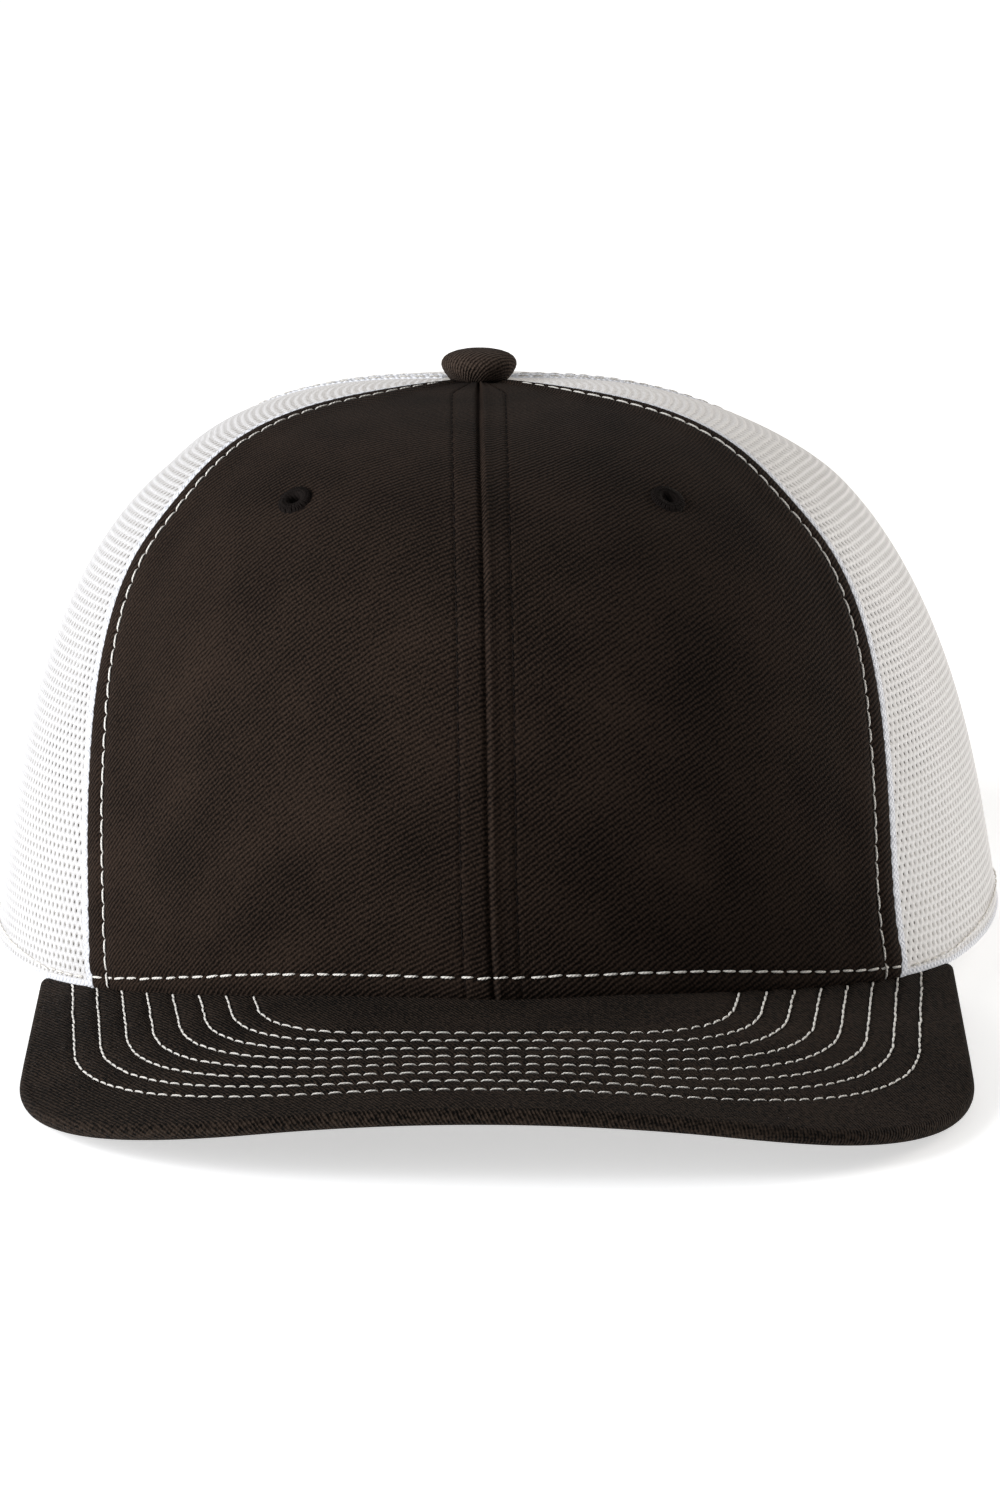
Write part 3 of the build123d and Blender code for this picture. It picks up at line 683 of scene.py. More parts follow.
def stitch_row(line, normals, pitch=STITCH_PITCH, fill=0.84, width=0.45, lift=0.12):
    """Stitches along a line, each a little different in place, length and direction."""
    total = line_length(line)
    count = max(2, int(round(total / pitch)))
    places = (np.arange(count) + 0.5) * total / count + rng.normal(0, 0.03 * pitch, count)
    centres = along_line(line, places)
    tangents = along_line(line, places + 0.3) - along_line(line, places - 0.3)
    tangents /= np.linalg.norm(tangents, axis=1, keepdims=True)
    steps = np.linalg.norm(np.diff(line, axis=0), axis=1)
    way = np.concatenate(((0,), np.cumsum(steps)))
    up = np.stack([np.interp(places, way, normals[:, i]) for i in range(3)], axis=-1)
    up -= (up * tangents).sum(axis=1, keepdims=True) * tangents
    up /= np.linalg.norm(up, axis=1, keepdims=True)
    sideways = np.cross(up, tangents)
    tangents = tangents + sideways * rng.normal(0, 0.035, (count, 1)) + sideways * 0.03
    tangents /= np.linalg.norm(tangents, axis=1, keepdims=True)
    centres = centres + sideways * rng.normal(0, 0.05, (count, 1))
    lengths = total / count * fill * (1 + rng.normal(0, 0.05, count))
    return stitch_parts(centres, tangents, up, lengths, width, lift)


def stitches(name, rows, skin, replaces=()):
    """Rows of stitches as one piece."""
    points, quads, tips = joined([row[:3] for row in rows])
    uv = np.concatenate([row[3] for row in rows])
    return make(name, points, [quads, tips], skin, replaces, uv)


def mirrored(line, side):
    """Points for the right side as they are, or their mirror image for the left."""
    return line * np.array((side, 1.0, 1.0))


def crown_row(turn, share, out, side=1, **options):
    """Stitches along a line on the crown."""
    line = mirrored(crown_out(turn, share, out), side)
    return stitch_row(line, mirrored(crown_normal(turn, share), side), **options)


# ---------------------------------------------------------------- front panels
def eyelet_place():
    """Turn and share of the right eyelet's middle."""
    share = np.array(EYELET_HEIGHT / CROWN_HEIGHT)
    return middle_turn(share, EYELET_X), share


def row_height(x):
    """Height of the row over the visor, above the crown's lower edge."""
    return RIM_ROW - RIM_ROW_FALL * ease(np.abs(x), 36, 84)


def front_relief(seam, x, height, side):
    """How far the front's face stands out: folded edges, rows of stitches and soft waves.

    seam is the distance from the side seam, x from the middle, height from the visor.
    """
    fold = 0.5 * (1 - np.exp(-((seam / 0.55) ** 2))) * (1 - ease(seam, 3.3, 8.5))
    row = -0.42 * np.exp(-(((seam - TOPSTITCH) / 0.55) ** 2))
    valley = -0.6 * np.exp(-((x / 0.5) ** 2))
    allowance = 0.22 * (1 - ease(x, 4.8, 6.5)) + 0.4 * np.exp(-(((x - 1.1) / 0.7) ** 2)) * (side > 0)
    middle_row = -0.3 * np.exp(-(((x - CENTRE_ROW) / 0.45) ** 2))
    hem = 0.3 * (1 - ease(height, 3.6, 9.0)) - 0.45 * np.exp(-((height / 0.7) ** 2))
    hem_row = -0.4 * np.exp(-(((height - row_height(x)) / 0.6) ** 2))
    inner = ease(seam, 4, 14) * ease(x, 5, 14)
    wave = np.sin(x / 8.3 + side * 0.9 + height / 31) * np.sin(height / 11.7 - x / 40 + side)
    pucker = 0.05 * np.sin(2 * np.pi * height / STITCH_PITCH) * np.exp(-(((seam - 4.2) / 1.6) ** 2))
    return -0.25 + fold + row + valley + allowance + middle_row + hem + hem_row + 0.1 * inner * wave + pucker


SEAM_STEPS = np.array((0, 0.1, 0.25, 0.5, 0.9, 1.5, 2.1, 2.6, 2.85, 3.0, 3.15, 3.4, 3.8, 4.4, 5.2, 6.2))
MIDDLE_STEPS = np.array(
    (6.0, 5.6, 5.3, 5.1, 5.0, 4.9, 4.7, 4.3, 3.5, 2.6, 1.9, 1.4, 1.0, 0.7, 0.45, 0.25, 0.1, 0)
)
HEM_STEPS = np.array((0, 0.15, 0.4, 0.8, 1.4, 2.2, 3.0, 3.6, 4.0, 4.3, 4.6, 5.0, 5.7, 6.8, 8.2, 10.0))
PANEL_COLUMNS = 84
PANEL_ROWS = 110


def front_grid():
    """Turns and shares of a grid over the right front panel, from the middle to the seam."""
    columns = len(MIDDLE_STEPS) + PANEL_COLUMNS + len(SEAM_STEPS)
    base = rim_share(np.linspace(0, float(seam_turn(np.array(0.0), SEAM)), columns))
    for _ in range(2):
        rows = [base + h / CROWN_HEIGHT for h in HEM_STEPS]
        rows += list(rising(rows[-1], PANEL_ROWS)[1:])
        share = np.array(rows)
        small = near_top(share)
        middle = [middle_turn(share[:, i], x * small[:, i]) for i, x in enumerate(MIDDLE_STEPS[::-1])]
        first = columns - len(SEAM_STEPS)
        outer = [
            seam_turn(share[:, first + i], SEAM, d * edge_scale(share[:, first + i]))
            for i, d in enumerate(SEAM_STEPS[::-1])
        ]
        way = np.linspace(0, 1, PANEL_COLUMNS + 2)[1:-1]
        between = [middle[-1] + (outer[0] - middle[-1]) * w for w in way]
        turn = np.stack(middle + between + outer, axis=1)
        base = rim_share(turn[0])
    return turn, share


def front_distances(turn, share):
    """Distances of a grid from the side seam and from the middle, widened near the button."""
    point = crown_point(turn, share)
    small = np.maximum(near_top(share), 1e-3)
    angle, lean = np.radians(SEAM[0]), np.radians(SEAM[1])
    normal = np.array((-np.cos(angle) * np.cos(lean), -np.sin(angle) * np.cos(lean), np.sin(lean)))
    seam = (point - np.array((0, BUTTON_BACK, CROWN_HEIGHT))) @ normal - seam_bow(share)
    wide = np.maximum(edge_scale(share), 1e-3)
    return np.maximum(seam, 0) / wide, np.abs(point[..., 0]) / small


def front_panels():
    """The two front panels in twill, and the buckram behind them."""
    turn, share = front_grid()
    seam, x = front_distances(turn, share)
    height = (share - share[0]) * CROWN_HEIGHT
    eyelet = crown_point(*eyelet_place())
    for name, side in SIDES:
        relief = front_relief(seam, x, height, side)
        face = crown_out(turn, share, relief)
        from_eyelet = np.linalg.norm(crown_point(turn, share) - eyelet, axis=-1)
        dimple = -0.35 * np.exp(-((from_eyelet / 5.0) ** 2))
        face = face + crown_normal(turn, share) * dimple[..., None]
        back = crown_out(turn, share, np.minimum(relief - 0.35, -TWILL))
        uv = grid_uv(crown_point(turn, share)) * np.array((side, 1.0))
        uv[..., 1] += (0.0036 if side < 0 else 0.0014) * uv[..., 0] ** 2
        turned_by = math.radians(12 if side < 0 else 0)
        across = np.array((math.cos(turned_by), -math.sin(turned_by)))
        upward = np.array((math.sin(turned_by), math.cos(turned_by)))
        uv = np.stack((uv @ across, uv @ upward), axis=-1)
        points, faces = shell_parts(mirrored(face, side), mirrored(back, side), flip=side < 0)
        ring = np.tile(from_eyelet.ravel() > EYELET_RADIUS - 0.25, 2)
        faces = faces[ring[faces].any(axis=1)]
        node_name = f"front_panel_{name}"
        make(
            node_name + "_cloth", points, [faces], front_twill,
            [node_name], np.tile(uv.reshape(-1, 2), (2, 1)),
        )
        lining = shell_parts(
            mirrored(crown_out(turn[:, ::3], share[:, ::3], -TWILL - 0.25), side),
            mirrored(crown_out(turn[:, ::3], share[:, ::3], -LINING_DEPTH), side),
            flip=side < 0,
        )
        keep = np.tile(from_eyelet[:, ::3].ravel() > EYELET_RADIUS, 2)
        make(
            f"front_buckram_{name}_cloth", lining[0], [lining[1][keep[lining[1]].any(axis=1)]],
            buckram_weave, [f"front_buckram_{name}"],
            np.tile(uv[:, ::3].reshape(-1, 2), (2, 1)),
        )


front_panels()


def front_rows():
    """White rows along the front panels' outer edges, black rows beside the middle seam."""
    top = share_at_radius(6.0)
    low = seam_foot(SEAM, TOPSTITCH)
    share = rising(low + 0.004, 260, top)
    turn = seam_turn(share, SEAM, TOPSTITCH * edge_scale(share))
    height = (share - low) * CROWN_HEIGHT
    rows = []
    for _, side in SIDES:
        out = front_relief(np.full_like(share, TOPSTITCH), 40.0, height, side)
        rows.append(crown_row(turn, share, out + 0.12, side, fill=1.02, width=0.46, lift=0.16))
    stitches("edge_topstitch", rows, white_thread)

    share = rising(float(rim_share(np.array(0.05))) + 0.01, 260, top)
    height = share * CROWN_HEIGHT
    turn = middle_turn(share, CENTRE_ROW * near_top(share))
    rows = []
    for _, side in SIDES:
        out = front_relief(30.0, np.full_like(share, CENTRE_ROW), height, side)
        rows.append(crown_row(turn, share, out - 0.05, side, fill=0.8, width=0.34, lift=0.06))
    stitches("middle_seam_stitches", rows, black_thread)


front_rows()


def rim_rows():
    """The row that sews the sweatband in: over the visor in front, and on round the rim."""
    front_end = float(seam_turn(np.array(-0.02), SEAM, 0.3))
    turn = np.linspace(-front_end, front_end, 500)
    base = rim_share(np.abs(turn))
    height = row_height(crown_point(turn, base)[:, 0])
    share = base + height / CROWN_HEIGHT
    seam, x = front_distances(np.abs(turn), share)
    out = front_relief(seam, x, height, 0)
    rows = [crown_row(turn, share, out + 0.12, width=0.48, lift=0.14, pitch=3.3)]
    rear_end = np.pi - math.asin((ARCH_HALF_WIDTH + 1) / (RIM_WIDTH / 2))
    turn = np.linspace(front_end + 0.03, rear_end, 400)
    height = RIM_ROW - RIM_ROW_FALL * (1 - ease(turn - front_end, 0, 0.6))
    share = rim_share(turn) + height / CROWN_HEIGHT
    for _, side in SIDES:
        rows.append(crown_row(turn, share, 0.12, side, pitch=3.3))
    stitches("rim_topstitch", rows, white_thread)


rim_rows()


def eyelets():
    """Embroidered eyelets: threads laid side by side from the hole to the outside."""
    turn, share = eyelet_place()
    rows, rings = [], []
    for _, side in SIDES:
        centre = mirrored(crown_out(turn, share, -0.45), side)
        normal = mirrored(crown_normal(turn, share), side)
        right = np.cross((0.0, 0.0, 1.0), normal)
        right /= np.linalg.norm(right)
        upward = np.cross(normal, right)
        count = EYELET_STITCHES
        turns = np.linspace(0, 2 * np.pi, count, endpoint=False) + rng.normal(0, 0.02, count)
        spokes = np.cos(turns)[:, None] * right + np.sin(turns)[:, None] * upward
        reach = (EYELET_RADIUS - EYELET_HOLE) * (1 + rng.normal(0, 0.03, count))
        centres = centre + spokes * (EYELET_HOLE + reach[:, None] / 2)
        rows.append(stitch_parts(centres, spokes, np.tile(normal, (count, 1)), reach, 0.5, 0.55))
        angles = np.linspace(0, 2 * np.pi, 49)
        profile = (
            (1.0, -1.9), (1.05, 0.1), (1.5, 0.45), (2.4, 0.5), (3.1, 0.25), (3.5, -0.3), (3.0, -1.9)
        )
        rounds = np.cos(angles)[:, None] * right + np.sin(angles)[:, None] * upward
        sections = np.stack([centre + r * rounds + h * normal for r, h in profile], axis=1)
        rings.append((sections.reshape(-1, 3), grid_faces(49, len(profile), ring=True)))
    stitches("eyelet_threads", rows, black_thread, ["front_eyelets"])
    points, faces = joined(rings)
    make("eyelet_rings", points, [faces], black_thread, uv=points[:, [0, 2]])


eyelets()


# ---------------------------------------------------------------- knitted mesh
HOLE = np.array(((0, 1.25), (0.16, 0.65), (0.16, -0.65), (0, -1.25), (-0.16, -0.65), (-0.16, 0.65)))
CELL = np.array(((0, 4), (1, 2), (1, -2), (0, -4), (-1, -2), (-1, 2)))


def arch_reach(x, height):
    """How far a point, seen from behind, is outside the arch of the rear opening."""
    above = np.hypot(x, height - ARCH_SHOULDER) - ARCH_HALF_WIDTH
    return np.where(height > ARCH_SHOULDER, above, np.abs(x) - ARCH_HALF_WIDTH)


def lattice_faces(corner, count):
    """Faces of cells round their holes, front and back, and of the panel's own edge.

    corner holds the six corners of each cell in front. Those at the back lie count further on,
    and the corners of the holes come after them.
    """
    inner = 2 * count + np.arange(corner.size).reshape(-1, 6)
    ahead = np.roll(np.arange(6), -1)
    face = np.stack((corner, corner[:, ahead], inner[:, ahead], inner), axis=-1).reshape(-1, 4)
    rear_face = np.stack((corner[:, ahead], corner, inner, inner[:, ahead]), axis=-1).reshape(-1, 4)
    rear_face[:, :2] += count
    edges = np.stack((corner, corner[:, ahead]), axis=-1).reshape(-1, 2).tolist()
    backward = {(b, a) for a, b in edges}
    free = np.array([(a, b) for a, b in edges if (a, b) not in backward])
    rim = np.stack((free[:, 1], free[:, 0], free[:, 0] + count, free[:, 1] + count), axis=-1)
    return np.concatenate((face, rear_face, rim))


def lattice(name, side, low, high, rear):
    """A mesh panel: rows of six-sided cells, each with a hole, between two seams.

    low and high give the seams' turns at shares of the height. Heights are counted in sixths
    of a row along the wall, and places across in half columns from the middle of the panel.
    """
    heights = np.linspace(-0.04, 0.9, 60)
    middle = float((low(heights) + high(heights)).mean() / 2)
    shares = rising(-0.04, 4000)
    wall = crown_point(np.full_like(shares, middle), shares)
    way = np.concatenate(((0,), np.cumsum(np.linalg.norm(np.diff(wall, axis=0), axis=1))))
    sixth = MESH_ROW / 6
    rows = int(way[-1] / MESH_ROW)
    reach = int(90 / MESH_COLUMN)
    row, column = np.meshgrid(np.arange(rows), np.arange(-reach, reach + 1), indexing="ij")
    centre = np.stack((2 * column + row % 2, 6 * row), axis=-1).reshape(-1, 2)
    spread = np.linspace(-1.35, 1.35, 400)

    def turn_at(across, level):
        """Turns and shares of places given in mm across and in sixths of a row."""
        turn = np.zeros(len(across))
        share = np.interp(level * sixth, way, shares)
        order = np.argsort(level, kind="stable")
        starts = np.unique(level[order], return_index=True)[1]
        for part in np.split(order, starts[1:]):
            half_width, half_length, _ = crown_oval(share[part[0]])
            turns = middle + spread
            speed = np.hypot(half_width * np.cos(turns), half_length * np.sin(turns))
            length = np.cumsum(speed) * (spread[1] - spread[0])
            length -= np.interp(middle, turns, length)
            turn[part] = np.interp(across[part], length, turns)
        return turn, share

    turn, share = turn_at(centre[:, 0] * MESH_COLUMN / 2, centre[:, 1])
    width = np.maximum(crown_oval(share)[0], 1.0)
    keep = (turn > low(share) + 0.5 / width) & (turn < high(share) - 0.5 / width)
    keep &= share > rim_share(turn) + 0.6 / CROWN_HEIGHT
    keep &= crown_oval(share)[0] > 5
    if rear:
        keep &= arch_reach(crown_point(turn, share)[:, 0], share * CROWN_HEIGHT) > 1.5
    centre = centre[keep]
    corner_keys = (centre[:, None] + CELL).reshape(-1, 2).astype(int)
    keys, corner = np.unique(corner_keys, axis=0, return_inverse=True)
    corner = corner.reshape(-1, 6)

    turn, share = turn_at(keys[:, 0] * MESH_COLUMN / 2, keys[:, 1])
    share = np.maximum(share, rim_share(turn))
    turn = np.clip(turn, low(share), high(share))
    front = crown_out(turn, share, -0.05)
    back = crown_out(turn, share, -0.5)

    size = 1 + rng.normal(0, 0.07, (len(centre), 1))
    across = centre[:, :1] * MESH_COLUMN / 2 + HOLE[:, 0] * size + rng.normal(0, 0.03, (len(centre), 1))
    level = centre[:, 1:] + HOLE[:, 1]
    turn, share = turn_at(across.ravel(), level.ravel())
    turn = np.clip(turn, low(share), high(share))
    hole = crown_out(turn, share, -0.2)

    faces = lattice_faces(corner, len(keys))
    if side > 0:
        faces = faces[:, ::-1]
    points = mirrored(np.concatenate((front, back, hole)), side)
    make(f"{name}_knit", points, [faces], mesh_knit, [name])


def front_seam(share):
    return seam_turn(share, SEAM)


def back_seam(share):
    return seam_turn(share, BACK_SEAM)


def rear_middle(share):
    return np.full_like(np.asarray(share, float), np.pi)


for name, side in SIDES:
    lattice(f"side_mesh_{name}", side, front_seam, back_seam, False)
    lattice(f"back_mesh_{name}", side, back_seam, rear_middle, True)


def strip(turns, share, outs, inside=-0.9):
    """Closed sections along a seam, from the turns and reliefs of its face's columns."""
    face = [crown_out(turn, share, out) for turn, out in zip(turns, outs)]
    under = [crown_out(turns[i], share, inside) for i in (len(turns) - 1, 0)]
    return np.stack(face + under, axis=1)


def seam_strips():
    """Solid strips of knit where the panels are sewn together, and the hem round the rim."""
    top = share_at_radius(5.5)
    share = rising(seam_foot(SEAM, -1.0), 420, top)
    small = near_top(share)
    way = np.arange(len(share)) * 0.31
    lump = 0.2 * np.sin(2 * np.pi * way / MESH_COLUMN) + 0.07 * np.sin(2 * np.pi * way / 2.9)
    shifts = (0.7, 0.55, 0.1, -0.5, -1.0, -RIDGE)
    heights = (-0.25, 0.08, 0.12, 0.06, 0.0, -0.25)
    front_turns = [seam_turn(share, SEAM, (s + lump * 1.4) * small) for s in shifts]
    front = strip(front_turns, share, [h + 0.5 * lump for h in heights])

    share = rising(seam_foot(BACK_SEAM), 420, top)
    small = near_top(share)
    shifts = (3.0, 2.7, 2.2, 1.6, 0.7, 0.0, -0.7, -1.6, -2.2, -2.7, -3.0)
    heights = (-0.1, 0.2, 0.12, 0.34, 0.3, -0.1, 0.3, 0.34, 0.12, 0.2, -0.1)
    back_turns = [seam_turn(share, BACK_SEAM, s * small) for s in shifts]
    back = strip(back_turns, share, [h + 0.3 * lump for h in heights])

    low = (ARCH_SHOULDER + ARCH_HALF_WIDTH + 4) / CROWN_HEIGHT
    rear_share = rising(low, 300, top)
    rear_small = near_top(rear_share)
    rear_turns = [middle_turn(rear_share, s * rear_small, rear=True) for s in shifts]
    rear = strip(rear_turns, rear_share, heights)

    start = float(seam_turn(np.array(0.0), SEAM, -0.5))
    end = np.pi - math.asin((ARCH_HALF_WIDTH + 4) / (RIM_WIDTH / 2))
    turn = np.linspace(start, end, 300)
    base = rim_share(turn)
    levels = (0.0, 0.08, 0.25, 0.6, 1.0, 1.3)
    outs = (-0.3, -0.04, 0.05, 0.05, 0.0, -0.3)
    hem = [crown_out(turn, base + h / CROWN_HEIGHT, o) for h, o in zip(levels, outs)]
    hem += [crown_out(turn, base + h / CROWN_HEIGHT, -1.0) for h in (1.3, 0.0)]
    hem = np.stack(hem, axis=1)[::-1]

    strips = [(sections, side) for _, side in SIDES for sections in (front, back, hem)]
    strips.append((rear, 1))
    points, faces, count = [], [], 0
    for sections, side in strips:
        part, *kinds = loop_parts(mirrored(sections, side))
        points.append(part)
        faces += [(kind[:, ::-1] if side > 0 else kind) + count for kind in kinds]
        count += len(part)
    uv = np.concatenate([loop_uv(sections) for sections, _ in strips])
    make("mesh_seams", np.concatenate(points), faces, edge_knit, uv=uv)

    rows = []
    line_share = rising(seam_foot(BACK_SEAM) + 0.01, 300, top)
    for _, side in SIDES:
        for shift in (2.2, -2.2):
            turns = seam_turn(line_share, BACK_SEAM, shift * near_top(line_share))
            rows.append(crown_row(turns, line_share, 0.18, side))
    for shift in (2.2, -2.2):
        turns = middle_turn(rear_share, shift * rear_small, rear=True)
        rows.append(crown_row(turns, rear_share, 0.18))
    stitches("back_seam_stitches", rows, white_thread)


seam_strips()


# ---------------------------------------------------------------- rear opening
def arch_line(grow):
    """Outline of the rear opening seen from behind, grown by a distance: x and height."""
    radius = ARCH_HALF_WIDTH + grow
    low = RIM_DIP * 10 + 0.2
    leg = np.linspace(low, ARCH_SHOULDER, 12)[:-1]
    turns = np.linspace(0, np.pi, 160)
    x = np.concatenate((np.full(11, radius), radius * np.cos(turns), np.full(11, -radius)))
    height = np.concatenate((leg, ARCH_SHOULDER + radius * np.sin(turns), leg[::-1]))
    return x, height


def on_rear(x, height, out):
    """Points and normals of the crown's rear at places seen from behind."""
    share = height / CROWN_HEIGHT
    turn = middle_turn(share, x, rear=True)
    return crown_out(turn, share, out), crown_normal(turn, share)


def arch_binding():
    """White tape folded over the mesh's edge round the rear opening."""
    profile = (
        (8.0, -0.3), (7.9, 0.25), (7.3, 0.5), (6.9, 0.38), (6.5, 0.3), (6.1, 0.4), (5.2, 0.58),
        (3.0, 0.62), (1.2, 0.55), (0.4, 0.35), (0.05, -0.1), (0.0, -0.6), (0.15, -1.1), (0.8, -1.45),
        (3.0, -1.6), (7.0, -1.6), (8.0, -1.3),
    )
    sections = np.stack([on_rear(*arch_line(grow), out)[0] for grow, out in profile], axis=1)
    points, quads, caps = loop_parts(sections)
    make(
        "arch_binding_tape", points, [quads, caps], binding_weave,
        ["arch_binding"], loop_uv(sections),
    )
    line, normals = on_rear(*arch_line(6.5), 0.32)
    stitches("binding_stitches", [stitch_row(line, normals)], white_thread)


arch_binding()


# ---------------------------------------------------------------- tapes inside
def tape_sheet(turns, share, side):
    """A strip of tape along a seam on the inside, with soft edges."""
    columns = np.stack(turns, axis=1)
    edge = np.abs(np.linspace(-1, 1, columns.shape[1])) ** 8 * 0.2
    shares = np.broadcast_to(share[:, None], columns.shape)
    outer = mirrored(crown_out(columns, shares, -LINING_DEPTH - 0.02), side)
    inner = mirrored(crown_out(columns, shares, -LINING_DEPTH - TAPE + edge), side)
    uv = shell_uv(crown_point(columns, shares))
    points, faces = shell_parts(outer, inner, flip=side < 0)
    return points, faces, uv


def seam_tapes():
    """Tape over the inside of every seam, and a round patch where they meet."""
    top = share_at_radius(TAPE_START)
    shifts = np.linspace(TAPE_WIDTH / 2, -TAPE_WIDTH / 2, 13)
    for place, seam in (("front", SEAM), ("back", BACK_SEAM)):
        low = seam_foot(seam) + 0.012
        share = rising(low, 90, top)
        turns = [seam_turn(share, seam, s) for s in shifts]
        for name, side in SIDES:
            points, faces, uv = tape_sheet(turns, share, side)
            node_name = f"{place}_seam_tape_{name}"
            make(node_name + "_cloth", points, [faces], tape_weave, [node_name], uv)
    top = share_at_radius(TAPE_WIDTH / 2 + 1)
    parts, uvs = [], []
    arch_top = (ARCH_SHOULDER + ARCH_HALF_WIDTH + 9) / CROWN_HEIGHT
    for rear, low in ((False, 0.045), (True, arch_top)):
        share = rising(low, 90, top)
        turns = [middle_turn(share, -s, rear=rear) for s in shifts]
        points, faces, uv = tape_sheet(turns[::-1], share, 1)
        parts.append((points, faces))
        uvs.append(uv)
    radii = np.linspace(2.0, 11.0, 8)
    angles = np.linspace(0, 2 * np.pi, 41)
    level = 0.985 * CROWN_HEIGHT - LINING_DEPTH
    disc = np.stack([
        np.stack((r * np.sin(angles), BUTTON_BACK - r * np.cos(angles), np.full(41, level)), axis=-1)
        for r in radii
    ])
    points, faces = shell_parts(disc, disc - np.array((0, 0, TAPE)))
    parts.append((points, faces[:, ::-1]))
    uvs.append(points[:, :2])
    points, faces = joined(parts)
    make(
        "centre_seam_tape_cloth", points, [faces], tape_weave,
        ["centre_seam_tape"], np.concatenate(uvs),
    )


seam_tapes()


# ---------------------------------------------------------------- button
def turned(name, profile, skin, replaces, steps=72, creases=0.0):
    """A piece turned round the button's axis from a closed profile of (radius, height)."""
    angles = np.linspace(0, 2 * np.pi, steps, endpoint=False)
    rings = []
    for radius, height in profile:
        gather = 1 + creases * np.sin(13 * angles) * ease(1.6 - height, 0, 1.4)
        x, y = radius * gather * np.sin(angles), BUTTON_BACK - radius * gather * np.cos(angles)
        rings.append(np.stack((x, y, np.full(steps, BUTTON_LEVEL + height)), axis=-1))
    points = np.stack(rings).reshape(-1, 3)
    faces = grid_faces(len(profile), steps, ring=True)
    low = (len(profile) - 1) * steps
    caps = [np.arange(steps)[None, ::-1], (low + np.arange(steps))[None]]
    steps_down = np.linalg.norm(np.diff(profile, axis=0), axis=1)
    reach = np.concatenate((np.cumsum(steps_down[::-1])[::-1], (0,)))
    uv = np.stack([r * np.stack((np.sin(angles), -np.cos(angles)), axis=-1) for r in reach])
    uv = uv.reshape(-1, 2)
    return make(name, points, [faces, *caps], skin, replaces, uv)


def button():
    """The button: cloth gathered over a steel shell, held by a rivet."""
    outline = (
        (0.3, 0.9), (4.8, 0.9), (5.2, 0.4), (5.0, -0.6), (5.4, -0.6), (5.9, 0.0), (6.5, 0.8), (6.95, 1.6),
        (7.15, 2.3), (7.05, 3.0), (6.6, 3.7), (5.8, 4.25), (4.6, 4.7), (3.2, 5.0), (1.6, 5.15), (0.3, 5.2),
    )
    turned("button_cloth", outline, button_twill, ["button_cover"], creases=0.012)
    cup = ((5.2, 0.95), (5.6, 1.2), (6.2, 2.0), (5.8, 3.0), (4.0, 3.8), (0.3, 4.1))
    turned("button_core", cup, button_steel, ["button_shell"])
    rivet = ((6.0, -4.2), (6.0, -3.6), (5.4, -3.3), (1.6, -3.2), (1.5, 1.2), (0.3, 1.3))
    turned("button_stem", ((0.3, -4.35), *rivet), button_steel, ["button_rivet"])


button()


# ---------------------------------------------------------------- visor
def visor_rows():
    """The eight rows on the visor, each from the crown round the front and back again."""
    lines = []
    for row in range(VISOR_ROW_COUNT):
        x = 78.0 - 4.7 * row - 0.029 * row**2
        y = -RIM_LENGTH / 2 * math.sqrt(1 - (x / (RIM_WIDTH / 2)) ** 2)
        corner = 54.0 - 4.2 * row
        line = visor_outline((x, y + 0.5), 3.4 + 0.5 * row, 12.4 + 5.1 * row, corner)
        lines.append(both_halves(line))
    return lines


VISOR_ROWS = visor_rows()
EDGE = VISOR_THICKNESS / 2
VISOR_STATIONS = 420
VISOR_STEPS = 120


def visor_puff(points):
    """Relief of the visor's top: a groove under each row and cloth that swells between them."""
    tree = KDTree(sum(len(line) for line in VISOR_ROWS))
    index = 0
    for line in VISOR_ROWS:
        for x, y in line:
            tree.insert((x, y, 0.0), index)
            index += 1
    tree.balance()
    flat = points.reshape(-1, 2)
    reach = np.array([tree.find((x, y, 0.0))[2] for x, y in flat]).reshape(points.shape[:-1])
    groove = -0.34 * np.exp(-((reach / 0.6) ** 2))
    swell = 0.1 * np.sin(points[..., 0] / 6.1) * np.sin(points[..., 1] / 4.7 + 1)
    return groove + swell * ease(reach, 0.5, 2.0) + 0.12 * ease(reach, 0.4, 1.8)


def raised(plan, height):
    """Points over a plan, at heights over it."""
    return np.concatenate((plan, height[..., None]), axis=-1)


